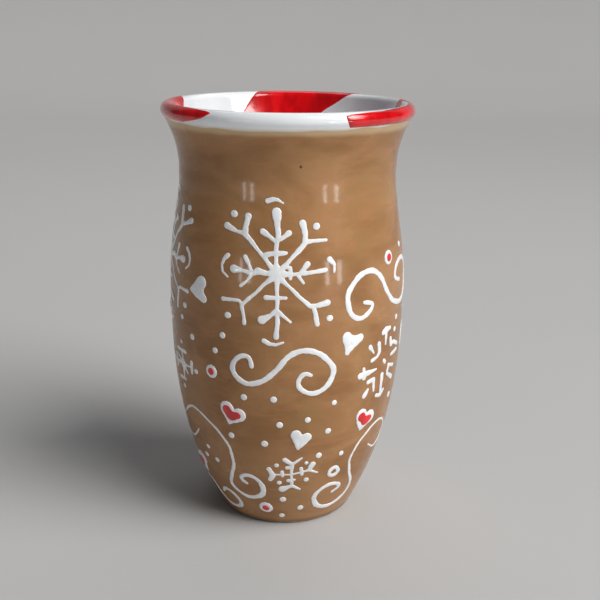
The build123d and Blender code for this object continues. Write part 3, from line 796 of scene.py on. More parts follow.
@dataclass
class LipStripe:
    """A red band brushed over the lip that swirls as it runs down the inside.

    Both edges are azimuths at the same places along the way over the lip, whose
    distances from the outer end are in `stations`.
    """

    surface: ThrownSurface
    name: str
    node: str
    left: tuple[float, ...]
    right: tuple[float, ...]
    seed: int
    stations: tuple[float, ...] = (0.0, 2.2, 5.1, 6.3, 9.0, 15.5, 24.0, 34.0)
    edge_waver: float = 0.7
    outer_drop: float = 4.7 * MM
    inner_drop: float = 32 * MM
    thickness: float = 0.13 * MM
    soft: float = 1.0 * MM
    thin_band: float = 0.35 * MM
    columns: int = 120
    rows: int = 90

    def path(self) -> np.ndarray:
        """The way over the lip, from outside to inside, as radius, height and normal."""
        surface = self.surface
        under = surface.lip_point(surface.lip_under_angle)[1]
        outside = surface.outer_outline(surface.height - self.outer_drop, under, 6, 0.10 * MM)
        turns = np.linspace(surface.lip_under_angle, surface.lip_inner_angle, 34)
        lifts = np.linspace(0.10 * MM, 0.0, 34)
        roll = [surface.lip_point(turn, lift) for turn, lift in zip(turns[1:], lifts[1:])]
        inside = [p for p in surface.inner_outline(90, 0.0) if p[1] > surface.height - self.inner_drop]
        run = np.array(outside + roll + surface.inner_lip(14, 0.0) + inside)
        length = np.concatenate([[0], np.cumsum(np.hypot(*np.diff(run, axis=0).T))])
        even = np.linspace(0, length[-1], self.rows)
        run = np.stack([np.interp(even, length, run[:, 0]), np.interp(even, length, run[:, 1])], axis=1)
        along = np.gradient(run, axis=0)
        along /= np.hypot(along[:, 0], along[:, 1])[:, None]
        return np.column_stack([run, along[:, 1], -along[:, 0], even])

    def edges(self, path: np.ndarray) -> list[np.ndarray]:
        """Azimuths of the band's two brushed edges, in degrees, along the path."""
        share = path[:, 4] / path[-1, 4]
        draw = np.random.default_rng(self.seed)
        edges = []
        for places in (self.left, self.right):
            wave = np.zeros(len(path))
            for count in (5, 11, 23):
                wave += draw.uniform(0.3, 1) * np.sin(share * count + draw.uniform(0, FULL_TURN))
            run = np.interp(path[:, 4], np.array(self.stations) * MM, np.array(places))
            for _ in range(3):
                run[1:-1] = (run[:-2] + 2 * run[1:-1] + run[2:]) / 4
            edges.append(run + self.edge_waver * wave)
        return edges

    def build(self, shelf: GlazeShelf) -> bpy.types.Object:
        """Lay the band as a thin closed skin with soft edges, and dress it."""
        path = self.path()
        piece = new_object(
            self.name,
            [(reach, 0.0, level) for reach, level in path[:, :2]],
            [(k, k + 1) for k in range(len(path) - 1)],
            [],
        )
        bpy.ops.object.mode_set(mode="EDIT")
        bpy.ops.mesh.select_all(action="SELECT")
        bpy.ops.mesh.spin(
            steps=self.columns, angle=pi / 2, center=(0, 0, 0), axis=(0, 0, 1)
        )
        bpy.ops.object.mode_set(mode="OBJECT")
        turned = mesh_points(piece)
        spread = np.abs(np.degrees(np.arctan2(turned[:, 1], turned[:, 0])))
        across = spread / 90.0
        flat = np.stack([np.hypot(turned[:, 0], turned[:, 1]), turned[:, 2]], axis=1)
        gaps = np.hypot(*(flat[:, None, :] - path[None, :, :2]).transpose(2, 0, 1))
        row = path[np.argmin(gaps, axis=1)]
        low, high = (edge[np.argmin(gaps, axis=1)] for edge in self.edges(path))
        azimuth = np.radians(low + (high - low) * across)
        from_side = np.radians(np.minimum(across, 1 - across) * (high - low)) * row[:, 0]
        depth = np.minimum(from_side, np.minimum(row[:, 4], path[-1, 4] - row[:, 4]))
        lift = 0.01 * MM + self.thickness * np.sin(np.clip(depth / self.soft, 0, 1) * pi / 2)
        reach = row[:, 0] + lift * row[:, 2]
        reach += self.surface.waver(azimuth, row[:, 1]) * np.clip(reach / self.surface.neck_radius, 0, 1)
        level = row[:, 1] + lift * row[:, 3]
        laid = np.stack([reach * np.sin(azimuth), -reach * np.cos(azimuth), level], axis=1)
        set_points(piece, laid)
        set_attribute(piece, "thin", np.clip(1 - depth / self.thin_band, 0, 1) * 0.8)
        self.close(piece, row[:, 2:4], azimuth)
        shelf.dress(piece, Glaze.RED, self.node)
        return piece

    def close(self, piece: bpy.types.Object, normals: np.ndarray, azimuth: np.ndarray) -> None:
        """Face the band off the white and give it a lower side sunk in the white."""
        first = piece.data.polygons[0]
        middle = first.vertices[0]
        turn = azimuth[middle]
        off = (normals[middle, 0] * sin(turn), -normals[middle, 0] * cos(turn), normals[middle, 1])
        if first.normal.dot(off) < 0:
            take(piece)
            bpy.ops.object.mode_set(mode="EDIT")
            bpy.ops.mesh.select_all(action="SELECT")
            bpy.ops.mesh.flip_normals()
            bpy.ops.object.mode_set(mode="OBJECT")
        take(piece)
        skin = piece.modifiers.new("skin", "SOLIDIFY")
        skin.thickness = 0.09 * MM
        skin.offset = -1
        bpy.ops.object.modifier_apply(modifier="skin")
        bpy.ops.object.shade_smooth()


# ---- Slip trailed on the brown ---------------------------------------------

# A stroke is a row of beads: across, up and radius, in millimetres on the flat drawing.
BIG_SNOWFLAKE: list[Stroke] = [
    [
        (-2.7, 0, 1.7), (-3.1, 3.4, 0.75), (-2.9, 9, 0.8), (-2.3, 13.5, 0.9), (-2.7, 17.2, 1.2),
        (-3, 19.9, 1.65),
    ],
    [(-2.9, 10.2, 0.75), (-5.4, 12.2, 0.7), (-7.3, 13.6, 1.15)],
    [(-2.7, 10.6, 0.75), (-0.6, 12, 0.7), (1.2, 13.3, 1.1)],
    [(-6.2, 6, 0.95), (-4.6, 6.5, 0.8), (-3.0, 6.6, 1.1), (0.3, 6.8, 0.6)],
    [(-2.5, 0.3, 1.3), (0.8, 3.6, 0.7), (6.4, 9.9, 1.0), (6.6, 12.5, 0.85), (5.5, 16.4, 1.3)],
    [(6.4, 10.3, 1.1), (9, 10.6, 0.65), (13.2, 10.7, 0.6)],
    [(-2.5, 0, 1.6), (2, -0.2, 0.7), (6.5, 0.1, 0.75), (13.3, 0.9, 0.8)],
    [(4.9, 0.2, 0.7), (7.4, 3.1, 1.1)],
    [(4, 0, 0.7), (6, -3.1, 0.5)],
    [(-0.6, 2.3, 0.6), (1.6, 2, 0.75), (1.8, -1.6, 0.6)],
    [(14.6, 4.3, 1.0), (16.1, 2.6, 0.6), (16.3, -0.1, 0.4)],
    [(-2.4, -0.6, 1.3), (0.6, -3.6, 0.65), (8.2, -11, 0.8)],
    [(8.3, -11, 0.8), (11, -10.9, 0.9), (14.1, -10.2, 1.15)],
    [(9.3, -11.4, 0.8), (10.2, -14, 0.9), (10.9, -17.5, 0.85)],
    [(-2.7, 0, 1.6), (-2.6, -4, 0.75), (-2.6, -12, 0.7), (-2.5, -16, 0.8), (-2.8, -21.8, 0.95)],
    [(-6.2, -8.1, 0.85), (0.3, -8.1, 0.6)],
    [(-2.8, -12.3, 0.8), (-4.4, -14, 0.8), (-7.7, -15.9, 1.4)],
    [(-2.6, -12.3, 0.8), (-1, -14, 0.7), (1.9, -16.4, 0.5)],
    [(-7, -23.2, 0.9), (-5.4, -24.2, 0.75), (-3, -24.5, 0.65), (-0.4, -23.6, 0.4)],
    [(-2.9, -0.4, 1.3), (-7.2, -4, 0.65), (-10, -7, 0.65), (-14.4, -11.2, 0.7)],
    [(-14.2, -11.2, 0.7), (-15.5, -9.9, 0.6), (-17.5, -9.9, 0.6), (-20.8, -10.1, 0.85)],
    [(-14.4, -11.6, 0.7), (-14, -14.5, 0.65), (-13.6, -17.7, 0.7)],
    [
        (-2.9, 0, 1.6), (-6, 0, 0.8), (-9, 0.6, 1.35), (-11, -0.4, 0.8), (-14, 0.4, 0.7),
        (-17.1, 0.6, 1.4),
    ],
    [(-11, -0.2, 0.75), (-12, 2.4, 0.6), (-13.1, 5, 0.85)],
    [(-11.2, -0.8, 0.7), (-12.6, -3, 0.5), (-14.8, -4.8, 0.6)],
    [(-19, 4.9, 0.85), (-20.5, 3.5, 0.6), (-21.2, 1.5, 0.5), (-20.9, -0.8, 0.45), (-19.3, -2.3, 0.4)],
    [
        (-3, 0.3, 1.3), (-6, 4, 0.7), (-9.8, 8.6, 0.7), (-13.2, 12.3, 1.05), (-12.9, 15, 0.9),
        (-12.3, 18.2, 1.15),
    ],
    [(-13.4, 12.6, 1.0), (-16, 13, 0.6), (-19.2, 14.5, 1.2)],
    [(-5.9, 23.5, 1.0), (-4.2, 24.1, 0.75), (-2.6, 24, 0.6), (-0.7, 22.9, 0.4)],
    [(10.1, 15.3, 1.25)],
    [(15, -15.7, 1.2)],
    [(-19.3, -15.6, 1.2)],
    [(-16.9, 18.6, 1.25)],
]
SMALL_SNOWFLAKE: list[Stroke] = [
    [(0.1, 4.8, 0.8), (0, 0, 0.5), (0.2, -5.8, 0.7)],
    [(-6, -0.1, 0.4), (0, 0, 0.4), (5.6, 1.5, 0.5)],
    [(0, 5, 0.9), (-2.6, 6.9, 0.9)],
    [(0.3, 4.8, 0.7), (3.5, 7.4, 0.45)],
    [(0, 3.4, 0.8), (-1.7, 3.2, 0.8)],
    [(3.3, 2.6, 0.8), (3.8, -0.1, 0.7)],
    [(6.3, 1.7, 0.9), (7.6, 4.3, 1.1)],
    [(6.4, 1.5, 0.6), (9.3, 0.1, 0.45)],
    [(-3.5, 1.2, 0.8), (-3.2, -0.8, 0.5)],
    [(-6.5, -0.6, 1.1), (-8.2, 2.3, 0.9)],
    [(-6.6, -0.5, 1.1), (-7.4, -2.6, 0.9)],
    [(-1.1, -2.9, 0.8), (1.3, -2.5, 0.6)],
    [(0.1, -5.4, 0.7), (-3.1, -7.1, 1.35)],
    [(0.2, -5.4, 0.7), (3.3, -7.3, 0.5)],
    [(-5.4, 4.2, 0.95)],
    [(5.2, 5.1, 0.8)],
    [(-4.3, -4, 1.0)],
    [(5.4, -2.8, 1.05)],
]
LOOSE_SNOWFLAKE: list[Stroke] = [
    [(-12, -1.8, 1.4), (-10.4, -1.6, 1.3), (-4, -1.2, 0.5)],
    [(-10.7, 0.6, 0.8), (-10.2, -3, 0.9)],
    [(-8.3, 8.2, 1.0), (-6, 5.5, 0.4)],
    [(-3.5, 8.2, 1.1), (-2.8, 5, 0.9), (-4, 3.5, 0.7), (-7, 2.8, 0.8)],
    [(-1, 11.8, 1), (0.8, 12.4, 1.3), (3.5, 12.4, 0.9)],
    [(0.9, 11.5, 0.9), (1.1, 7, 0.6)],
    [(4.6, 8, 0.9), (5.3, 5.6, 1.1), (7.5, 6, 0.8), (12, 3.8, 0.9)],
    [(6, 1.4, 0.7), (11.6, 1.7, 0.9)],
    [(0.6, 0.8, 0.9), (1.4, 0, 0.9)],
    [(9, -3.6, 0.7), (4.6, -2.2, 0.8), (4, -5.3, 0.8), (9, -8.5, 1)],
    [(0.1, -4.8, 1.1), (0.7, -11.6, 0.8)],
    [(-2, -12.2, 0.8), (0.8, -13, 0.8), (2.6, -11.2, 0.6)],
    [(-8, -5.2, 0.9), (-4.8, -4.8, 0.9), (-4.3, -9.5, 0.6)],
    [(-9.2, -10.3, 1.1), (-7.6, -8.2, 0.7)],
    [(8, 10.6, 1.1)],
]
BARRED_SNOWFLAKE: list[Stroke] = [
    [(0.6, 0.6, 1.9), (0.8, -0.4, 1.85)],
    [(0.3, 0.8, 0.7), (-0.2, 5.3, 0.6)],
    [(-4.3, 5.1, 0.75), (2.8, 5.4, 0.85)],
    [(1.2, 0.2, 0.65), (5.9, 0.5, 0.45)],
    [(6.9, 2.5, 1), (6.4, -1.5, 0.7)],
    [(-0.3, 0.1, 0.8), (-6, -0.4, 0.65)],
    [(-6.6, 2, 0.9), (-6.4, -2.4, 0.8)],
    [(0.4, -1, 0.7), (-0.2, -6, 0.55)],
    [(-4, -6.2, 0.8), (1, -5.9, 0.65)],
    [(-0.4, 1.1, 0.7), (-4, 2.3, 0.6)],
    [(1.5, -1.2, 0.75), (3.4, -2.6, 0.65)],
    [(0, 8.6, 0.9)],
    [(9.3, -0.1, 1.1)],
    [(-1, -9, 1)],
    [(-9.4, -0.4, 1)],
]
SIDEWAYS_HEART: list[Stroke] = [
    [(1.0, 1.8, 2.2), (-4.6, -1.7, 0.7)],
    [(2.1, -3.7, 1.8), (-4.6, -1.7, 0.7)],
    [(1.0, 1.8, 1.5), (0.2, -1.2, 1.9), (2.1, -3.7, 1.5)],
]
NARROW_HEART: list[Stroke] = [
    [(-1.7, 1.1, 1.9), (-0.6, -4.7, 0.7)],
    [(2.3, -0.1, 1.85), (-0.3, -4.2, 0.7)],
    [(-1.7, 1.1, 1.7), (0.3, -0.6, 1.6), (2.3, -0.1, 1.7)],
]
LEANING_HEART: list[Stroke] = [
    [(-2.5, 1.6, 1.95), (-2.3, -4.1, 1.0)],
    [(3, 0.5, 1.45), (-2.1, -3.6, 1.0)],
    [(-2.5, 1.2, 1.8), (0.2, 0, 1.6), (3, 0.5, 1.45)],
]
RED_HEART: list[Stroke] = [
    [(-2.1, 1.0, 1.7), (-0.4, -1.2, 1.8)],
    [(2.2, -0.6, 1.4), (-0.2, -1.3, 1.75)],
]
HEART_EDGE: list[Stroke] = [
    [(-2.1, 1.4, 2.9), (-1.6, -4.7, 0.5)],
    [(2.6, -0.4, 2.6), (-1.6, -4.7, 0.5)],
]

# Scroll lines are curves through points (azimuth in degrees, height in millimetres).
MIDDLE_SCROLL: list[Point] = [
    (-15, 70), (-17.5, 73.7), (-24.3, 70), (-20, 64), (-12, 64.3), (-4, 69), (3, 75),
    (13, 75.8), (22.4, 69), (20, 63), (13, 60.3), (6.5, 63.5), (8.5, 67.7), (12, 67.2),
]
UPPER_SCROLL: list[Point] = [
    (38.5, 90.8), (43.5, 89), (36, 85.4), (29, 92), (35, 100), (46, 100.6), (55, 92),
    (63, 87), (76, 86), (84, 92), (79, 100), (67, 100.5), (62.8, 96.5), (69, 94),
]
RIGHT_SCROLL: list[Point] = [
    (33, 14.8), (37, 17), (30, 19.2), (21, 16), (22.5, 9.8), (36, 7.5), (48.3, 13.5),
    (41.5, 24), (41.5, 33), (55, 40.8), (66, 39.5), (71, 33.5), (65, 28.8), (54, 32),
]
LEFT_SCROLL: list[Point] = [
    (-54, 38), (-61, 33.6), (-75, 31.6), (-81, 35.5), (-70, 41), (-56, 47), (-44, 45),
    (-31.5, 37), (-31.5, 25), (-35.5, 18), (-25, 13.3), (-13, 18), (-20, 24.3),
    (-27, 22.3), (-23.5, 20.3),
]
LOW_SCROLL: list[Point] = [
    (-49, 11), (-42.5, 13.3), (-33.8, 9.5), (-38, 5.6), (-50, 6.2), (-60, 12.5),
    (-72, 12.8), (-78, 8.5),
]

# Places of round marks: azimuth in degrees and height in millimetres.
DOTS: list[Point] = [
    (-57.8, 81.5), (-49, 75.8), (-29.3, 79.8), (-33.7, 73.6), (-19.3, 58), (-5, 58.2),
    (24, 55.7), (11.2, 50), (-2.3, 48.2), (22, 44.5), (-28, 41.3), (-10, 40), (18.4, 34.4),
    (32, 33.3), (-48, 32), (-52.3, 27.4), (-42.5, 27.4), (-1, 14), (11.2, 9.2), (-2, 5),
    (66, 80.5), (71.5, 106.5), (67, 49.5), (92, 112), (145, 112), (160, 80), (96, 60),
    (130, 46), (122, 20), (166, 20), (172, 56), (187, 112), (212, 86), (232, 78), (215, 48),
    (200, 20), (246, 116), (258, 84), (256, 46), (180, 36), (236, 18),
]
RINGS: list[Point] = [
    (-36.5, 65.3), (56.7, 104), (-13.2, 9), (-77, 82), (104, 96), (166, 108), (226, 108),
    (178, 12),
]
OPEN_RING: Point = (29.5, 25.4)


def curve_through(points: np.ndarray, count: int) -> np.ndarray:
    """An even run of points along a smooth curve through given ones.

    Args:
        points: The points it passes through, one row each.
        count: How many points to return.

    Returns:
        The points, evenly spaced along the curve.
    """
    gaps = np.sqrt(np.hypot(*np.diff(points, axis=0).T))
    knots = np.concatenate([[0], np.cumsum(gaps)])
    size = len(points)
    matrix = np.zeros((size, size))
    right = np.zeros((size, 2))
    matrix[0, 0] = matrix[-1, -1] = 1
    for k in range(1, size - 1):
        matrix[k, k - 1 : k + 2] = gaps[k - 1], 2 * (gaps[k - 1] + gaps[k]), gaps[k]
        turn = (points[k + 1] - points[k]) / gaps[k] - (points[k] - points[k - 1]) / gaps[k - 1]
        right[k] = 6 * turn
    bend = np.linalg.solve(matrix, right)
    fine = np.linspace(0, knots[-1], 600)
    span = np.clip(np.searchsorted(knots, fine, side="right") - 1, 0, size - 2)
    gap = gaps[span][:, None]
    before = (fine - knots[span])[:, None]
    after = gap - before
    run = (bend[span] * after**3 + bend[span + 1] * before**3) / (6 * gap)
    run += (points[span] / gap - bend[span] * gap / 6) * after
    run += (points[span + 1] / gap - bend[span + 1] * gap / 6) * before
    length = np.concatenate([[0], np.cumsum(np.hypot(*np.diff(run, axis=0).T))])
    even = np.linspace(0, length[-1], count)
    return np.stack([np.interp(even, length, run[:, 0]), np.interp(even, length, run[:, 1])], axis=1)


@dataclass
class SlipTrail:
    """Strokes of slip squeezed from a bulb: domed, rounded and a little uneven."""

    surface: ThrownSurface
    name: str
    nodes: tuple[str, ...]
    azimuth: float
    level: float
    strokes: list[Stroke]
    seed: int
    mirrored: bool = False
    glaze: Glaze = Glaze.SLIP
    lift: float = 0.0
    rise: float = 0.42
    crown: float = 0.42
    sink: float = 0.12
    unevenness: float = 0.07
    sway: float = 0.10
    bead_gap: float = 0.28
    voxel: float = 0.19
    swell: float = 0.0

    def beads(self) -> np.ndarray:
        """Beads of slip along every stroke, in millimetres on the flat drawing."""
        draw = np.random.default_rng(self.seed)
        side = -1 if self.mirrored else 1
        rows = []
        for stroke in self.strokes:
            path = np.array(stroke, dtype=float)
            path[:, 0] *= side
            path[:, 2] += self.swell
            if len(path) > 1:
                gaps = np.hypot(*np.diff(path[:, :2], axis=0).T)
                knots = np.concatenate([[0], np.cumsum(gaps)])
                count = max(2, int(knots[-1] / (self.bead_gap * path[:, 2].mean())) + 1)
                even = np.linspace(0, knots[-1], count)
                path = np.stack([np.interp(even, knots, path[:, k]) for k in range(3)], axis=1)
                phase = draw.uniform(0, FULL_TURN, 3)
                wobble = np.sin(even * 1.1 + phase[0]) + 0.6 * np.sin(even * 2.7 + phase[1])
                path[:, 2] *= 1 + self.unevenness * wobble
                path[:, 0] += self.sway * np.sin(even * 0.8 + phase[2])
            rows.append(path)
        return np.concatenate(rows)

    def bulk(self) -> bpy.types.Object:
        """The beads fused into one smooth body, still flat on the bench."""
        clear_selection()
        bpy.ops.mesh.primitive_ico_sphere_add(subdivisions=2, radius=1.0, location=(0, 0, 0))
        ball = bpy.context.object
        shell = mesh_points(ball)
        sides = np.array([tuple(face.vertices) for face in ball.data.polygons])
        bpy.data.objects.remove(ball, do_unlink=True)
        beads = self.beads()
        points = beads[:, None, 2:3] * shell[None] + np.insert(beads[:, None, :2], 2, 0, axis=2)
        faces = sides[None] + (np.arange(len(beads)) * len(shell))[:, None, None]
        piece = new_object(self.name, points.reshape(-1, 3), [], faces.reshape(-1, 3).tolist())
        piece.data.remesh_voxel_size = self.voxel
        bpy.ops.object.voxel_remesh()
        smooth = piece.modifiers.new("settle", "SMOOTH")
        smooth.factor = 0.5
        smooth.iterations = 6
        bpy.ops.object.modifier_apply(modifier="settle")
        return piece

    def settle(self) -> bpy.types.Object:
        """Fuse the slip and lay it on the wall, still undressed."""
        piece = self.bulk()
        flat = mesh_points(piece)
        height = flat[:, 2]
        up = self.crown * (1 - np.exp(-np.maximum(height, 0) * self.rise / self.crown))
        down = np.maximum(height * self.rise, -self.sink)
        lift = (np.where(height > 0, up, down) + self.lift) * MM
        level = self.level * MM + flat[:, 1] * MM
        radius = self.surface.radius(level)
        turn = radians(self.azimuth) + np.arcsin(np.clip(flat[:, 0] * MM / radius, -0.95, 0.95))
        set_points(piece, self.surface.on_wall(turn, level, lift))
        thin = np.clip(1 - np.maximum(height, 0) / 0.30, 0, 1)
        set_attribute(piece, "thin", thin * 0.75)
        take(piece)
        bpy.ops.object.shade_smooth()
        return piece

    def build(self, shelf: GlazeShelf) -> bpy.types.Object:
        """Lay the slip on the wall and dress it."""
        piece = self.settle()
        shelf.dress(piece, self.glaze, *self.nodes)
        return piece


def scroll_strokes(
    surface: ThrownSurface,
    points: list[Point],
    centre: float,
    shift: float,
    widths: tuple[float, float, float],
) -> list[Stroke]:
    """A scroll line as one stroke on the flat drawing.

    Args:
        surface: The wall that it lies on.
        points: Azimuth and height of the points it passes through.
        centre: Azimuth that the drawing is seen from.
        shift: Degrees that the line is moved round the mug.
        widths: Width of the line in millimetres at its start, middle and end.

    Returns:
        One stroke, with heights counted from the table.
    """
    places = np.array(points, dtype=float)
    radius = surface.radius(places[:, 1] * MM) / MM
    across = radius * np.sin(np.radians(places[:, 0] + shift - centre))
    run = curve_through(np.stack([across, places[:, 1]], axis=1), 140)
    along = np.linspace(0, 1, len(run))
    swell = 0.72 + 0.28 * np.sqrt(np.clip(np.sin(pi * along), 0, 1))
    half = np.interp(along, (0.0, 0.25, 0.55, 0.85, 1.0), np.repeat(widths, (2, 1, 2))) / 2
    return [[(x, y, r) for (x, y), r in zip(run.tolist(), (half * swell).tolist())]]


@dataclass
class Pattern:
    """Everything trailed and dotted on the brown glaze."""

    surface: ThrownSurface
    shelf: GlazeShelf
    dot_radius: float = 1.2
    ring_radius: float = 2.6
    ring_centre: float = 1.5
    open_ring_radius: float = 1.85
    open_ring_line: float = 0.85
    seeds: int = 100

    def next_seed(self) -> int:
        """A new seed for each piece."""
        self.seeds += 1
        return self.seeds

    def trail(
        self, node: str, azimuth: float, level: float, strokes: list[Stroke], **more: object
    ) -> None:
        """Trail one motif that stands for one node of the frame."""
        trail = SlipTrail(
            self.surface, f"{node}_slip", (node,), azimuth, level, strokes, self.next_seed(), **more
        )
        trail.build(self.shelf)

    def motifs(self) -> None:
        """Snowflakes and white hearts."""
        for node, strokes, azimuth, level, mirrored in (
            ("front_snowflake", BIG_SNOWFLAKE, 0, 103, False),
            ("left_top_snowflake", BIG_SNOWFLAKE, -81, 102, True),
            ("back_top_snowflake", BIG_SNOWFLAKE, 119, 102, True),
            ("small_front_snowflake", SMALL_SNOWFLAKE, 4, 26.5, False),
            ("small_right_snowflake", SMALL_SNOWFLAKE, 97, 26.5, True),
            ("small_left_snowflake", SMALL_SNOWFLAKE, -98, 26.5, True),
            ("right_snowflake", LOOSE_SNOWFLAKE, 54, 65.5, False),
            ("left_back_snowflake", LOOSE_SNOWFLAKE, -117, 64, True),
            ("left_snowflake", BARRED_SNOWFLAKE, -60, 63, False),
            ("back_snowflake", BARRED_SNOWFLAKE, 150, 63, True),
            ("left_heart", SIDEWAYS_HEART, -43, 95, False),
            ("right_heart", LEANING_HEART, 32.5, 78, False),
            ("low_heart", NARROW_HEART, 8, 43, False),
            ("side_heart", NARROW_HEART, 93, 80, True),
            ("back_heart", LEANING_HEART, -128, 92, True),
        ):
            self.trail(node, azimuth, level, strokes, mirrored=mirrored)

    def scrolls(self) -> None:
        """Scroll lines."""
        even = (2.1, 2.1, 2.1)
        curled = (2.0, 1.2, 1.1)
        hooked = (1.1, 1.2, 2.0)
        faint = (1.8, 1.4, 1.1)
        for node, points, centre, shift, widths in (
            ("middle_scroll", MIDDLE_SCROLL, -1, 0, even),
            ("side_middle_scroll", MIDDLE_SCROLL, 104, 105, even),
            ("back_middle_scroll", MIDDLE_SCROLL, 196, 197, even),
            ("upper_scroll", UPPER_SCROLL, 56, 0, even),
            ("back_upper_scroll", UPPER_SCROLL, 177, 121, even),
            ("right_low_scroll", RIGHT_SCROLL, 46, 0, curled),
            ("back_right_scroll", RIGHT_SCROLL, 146, 100, curled),
            ("left_low_scroll", LEFT_SCROLL, -47, 0, hooked),
            ("back_left_scroll", LEFT_SCROLL, -147, -100, hooked),
            ("foot_scroll", LOW_SCROLL, -56, 0, faint),
        ):
            strokes = scroll_strokes(self.surface, points, centre, shift, widths)
            self.trail(node, centre, 0, strokes)

    def red_hearts(self) -> None:
        """White hearts with a red heart laid on each."""
        for place, azimuth, level, mirrored in (
            ("left", -26, 51, False),
            ("right", 44.5, 46, False),
            ("foot", -66, 21.5, True),
            ("back_right", 144.5, 46, False),
            ("back_left", -126, 51, True),
        ):
            self.trail(f"{place}_heart_edge", azimuth, level, HEART_EDGE, mirrored=mirrored, crown=0.45)
            self.trail(
                f"{place}_red_heart", azimuth, level, RED_HEART, mirrored=mirrored,
                glaze=Glaze.RED, lift=0.36, crown=0.22, sink=0.3,
            )

    def marks(self, name: str, places: list[Point], strokes: list[Stroke], **more: object) -> None:
        """Round marks at many places, joined into the one piece that a node holds."""
        pieces = []
        glaze = more.get("glaze", Glaze.SLIP)
        for azimuth, level in places:
            seed = self.next_seed()
            swell = float(np.random.default_rng(seed).uniform(-0.14, 0.14))
            trail = SlipTrail(
                self.surface, f"{name}_slip", (), azimuth, level, strokes, seed, swell=swell, **more
            )
            pieces.append(trail.settle())
        clear_selection()
        for piece in pieces:
            piece.select_set(True)
        bpy.context.view_layer.objects.active = pieces[0]
        bpy.ops.object.join()
        joined = bpy.context.object
        joined.name = f"{name}_slip"
        self.shelf.dress(joined, glaze, name)

    def round_marks(self) -> None:
        """White dots, white rings with red centres, and one open ring."""
        self.marks("white_dots", DOTS, [[(0, 0, self.dot_radius)]])
        self.marks("dot_rings", RINGS, [[(0, 0, self.ring_radius)]], crown=0.42)
        self.marks(
            "red_dots", RINGS, [[(0, 0, self.ring_centre)]], glaze=Glaze.RED, lift=0.32, crown=0.22,
            sink=0.25,
        )
        turns = np.linspace(0, FULL_TURN, 30)
        ring = [
            (self.open_ring_radius * cos(t), self.open_ring_radius * sin(t), self.open_ring_line)
            for t in turns
        ]
        self.trail("open_ring", OPEN_RING[0], OPEN_RING[1], [ring])

    def build(self) -> None:
        """Trail and dot the whole pattern."""
        self.motifs()
        self.scrolls()
        self.red_hearts()
        self.round_marks()


# ---- Studio ------------------------------------------------------------------


@dataclass
class SoftBox:
    """A flat lamp that faces a point."""

    name: str
    azimuth: float
    distance: float
    level: float
    width: float
    height: float
    power: float
    colour: Colour = (1.0, 1.0, 1.0)
    aim: float = 0.08

    def build(self) -> None:
        """Hang the lamp and turn it to face the mug."""
        lamp = bpy.data.lights.new(self.name, "AREA")
        lamp.shape = "RECTANGLE"
        lamp.size = self.width
        lamp.size_y = self.height
        lamp.energy = self.power
        lamp.color = self.colour
        holder = bpy.data.objects.new(self.name, lamp)
        bpy.context.scene.collection.objects.link(holder)
        turn = radians(self.azimuth)
        place = Vector((self.distance * sin(turn), -self.distance * cos(turn), self.level))
        holder.location = place
        holder.rotation_euler = (Vector((0, 0, self.aim)) - place).to_track_quat("-Z", "Y").to_euler()
        holder.visible_camera = False


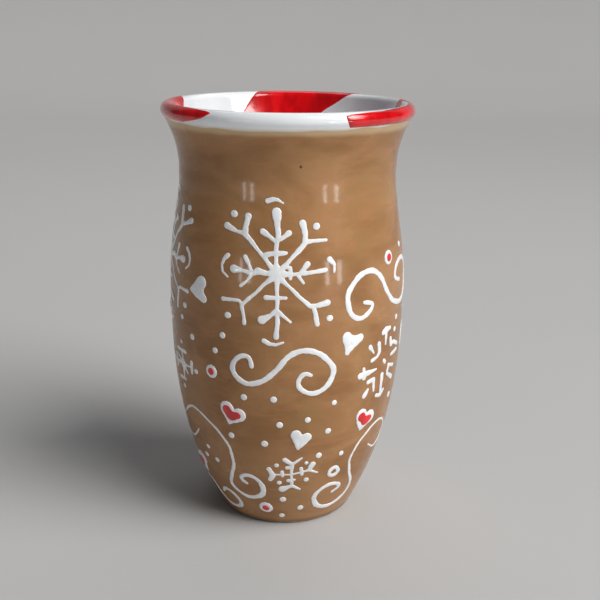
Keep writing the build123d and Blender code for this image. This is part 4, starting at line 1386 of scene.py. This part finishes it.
@dataclass
class Studio:
    """Plain pale floor and backdrop, soft lamps and the camera."""

    lens: float = 54.9
    place: tuple[float, float, float] = (0.005, -0.3317, 0.1841)
    pitch: float = 17.29
    roll: float = 0.6
    sky: Colour = (0.80, 0.82, 0.85)
    sky_strength: float = 0.07
    sun_power: float = 2.45
    sun_spread: float = 40.0
    sun_azimuth: float = 60.0
    sun_height: float = 48.0
    windows: tuple[tuple[int, float, float], ...] = (
        (-42, 0.026, 0.08), (-34, 0.032, 0.096), (38, 0.036, 0.144), (50, 0.044, 0.176),
    )
    paper_dark: Colour = (0.505, 0.505, 0.507)
    paper_light: Colour = (0.520, 0.520, 0.522)
    floor_half: float = 3.0
    wall_at: float = 2.2
    wall_height: float = 2.4
    sweep: float = 0.8

    def floor(self) -> None:
        """A floor that sweeps up into a backdrop behind the mug."""
        run = [(-self.floor_half, 0.0)]
        for turn in np.linspace(0, pi / 2, 24):
            away = self.wall_at - self.sweep + self.sweep * sin(turn)
            run.append((away, self.sweep * (1 - cos(turn))))
        run.append((self.wall_at, self.wall_height))
        points = [(-self.floor_half, y, z) for y, z in run]
        sheet = new_object("studio_floor", points, [(k, k + 1) for k in range(len(run) - 1)], [])
        bpy.ops.object.mode_set(mode="EDIT")
        bpy.ops.mesh.select_all(action="SELECT")
        bpy.ops.mesh.extrude_region_move(
            TRANSFORM_OT_translate={"value": (2 * self.floor_half, 0, 0)}
        )
        bpy.ops.mesh.select_all(action="SELECT")
        bpy.ops.mesh.normals_make_consistent(inside=False)
        bpy.ops.object.mode_set(mode="OBJECT")
        bpy.ops.object.shade_smooth()
        bench = ShaderBench("studio_paper")
        grain = bench.noise(6, 2)
        colour = bench.mix(grain, self.paper_dark, self.paper_light)
        bench.link(colour, bench.main.inputs["Base Color"])
        bench.main.inputs["Roughness"].default_value = 0.9
        sheet.data.materials.append(bench.material)

    def lamps(self) -> None:
        """A broad key from the right, two soft lamps, and slim lamps seen as window streaks."""
        sun = bpy.data.lights.new("key_sun", "SUN")
        sun.energy = self.sun_power
        sun.angle = radians(self.sun_spread)
        sun.color = (1.0, 0.985, 0.965)
        holder = bpy.data.objects.new("key_sun", sun)
        turn, climb = radians(self.sun_azimuth), radians(self.sun_height)
        way = Vector((cos(climb) * sin(turn), -cos(climb) * cos(turn), sin(climb)))
        holder.rotation_euler = way.to_track_quat("Z", "Y").to_euler()
        bpy.context.scene.collection.objects.link(holder)
        SoftBox("right_lamp", 58, 0.8, 0.55, 0.35, 0.5, 2.6, (1.0, 0.985, 0.96)).build()
        SoftBox("back_lamp", 170, 0.5, 0.9, 0.8, 0.5, 1.2, (0.98, 0.99, 1.0)).build()
        for azimuth, width, power in self.windows:
            name = f"window_{azimuth}".replace("-", "left_")
            SoftBox(name, azimuth, 0.60, 0.062, width, 0.06, power).build()

    def world(self) -> None:
        """Even light from all round."""
        world = bpy.data.worlds.new("studio_air")
        world.use_nodes = True
        air = world.node_tree.nodes["Background"]
        air.inputs["Color"].default_value = (*self.sky, 1.0)
        air.inputs["Strength"].default_value = self.sky_strength
        bpy.context.scene.world = world
        bpy.context.scene.view_settings.view_transform = "Standard"

    def camera(self) -> None:
        """The camera, a little above the lip and looking down."""
        lens = bpy.data.cameras.new("studio_camera")
        lens.lens = self.lens
        lens.sensor_width = 36.0
        lens.clip_start = 0.01
        holder = bpy.data.objects.new("studio_camera", lens)
        holder.location = self.place
        turn = Euler((radians(90 - self.pitch), 0, 0)).to_matrix()
        holder.rotation_euler = (turn @ Matrix.Rotation(radians(self.roll), 3, "Z")).to_euler()
        bpy.context.scene.collection.objects.link(holder)
        bpy.context.scene.camera = holder

    def build(self) -> None:
        """Set up the studio."""
        self.floor()
        self.lamps()
        self.world()
        self.camera()


# ---- Making ------------------------------------------------------------------


# Each stripe's piece, node, left and right azimuths at its stations, and seed.
STRIPES = (
    (
        "left_stripe", "left_lip_stripe",
        (-120, -119, -117, -110, -106, -99, -86, -72),
        (-50, -36, -31, -58, -84, -79, -66, -52), 21,
    ),
    (
        "right_stripe", "right_lip_stripe",
        (27, 25, 24, 101, 92, 93, 103, 117),
        (114, 114, 112, 106, 101, 103, 112, 124), 22,
    ),
    (
        "back_stripe", "back_lip_stripe",
        (134, 135, 138, 141, 148, 160, 172, 186),
        (187, 189, 193, 197, 200, 208, 220, 234), 23,
    ),
)


def main() -> None:
    """Make every piece in order."""
    logging.basicConfig(level=logging.INFO, format="%(name)s %(message)s")
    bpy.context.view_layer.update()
    Studio().build()
    surface = ThrownSurface()
    shelf = GlazeShelf()
    ThrownBody(surface).build(shelf)
    BrownCoat(surface).build(shelf)
    WhiteCoat(surface).build(shelf)
    for name, node, left, right, seed in STRIPES:
        LipStripe(surface, name, node, left, right, seed).build(shelf)
    Pattern(surface, shelf).build()


if __name__ == "__main__":
    main()
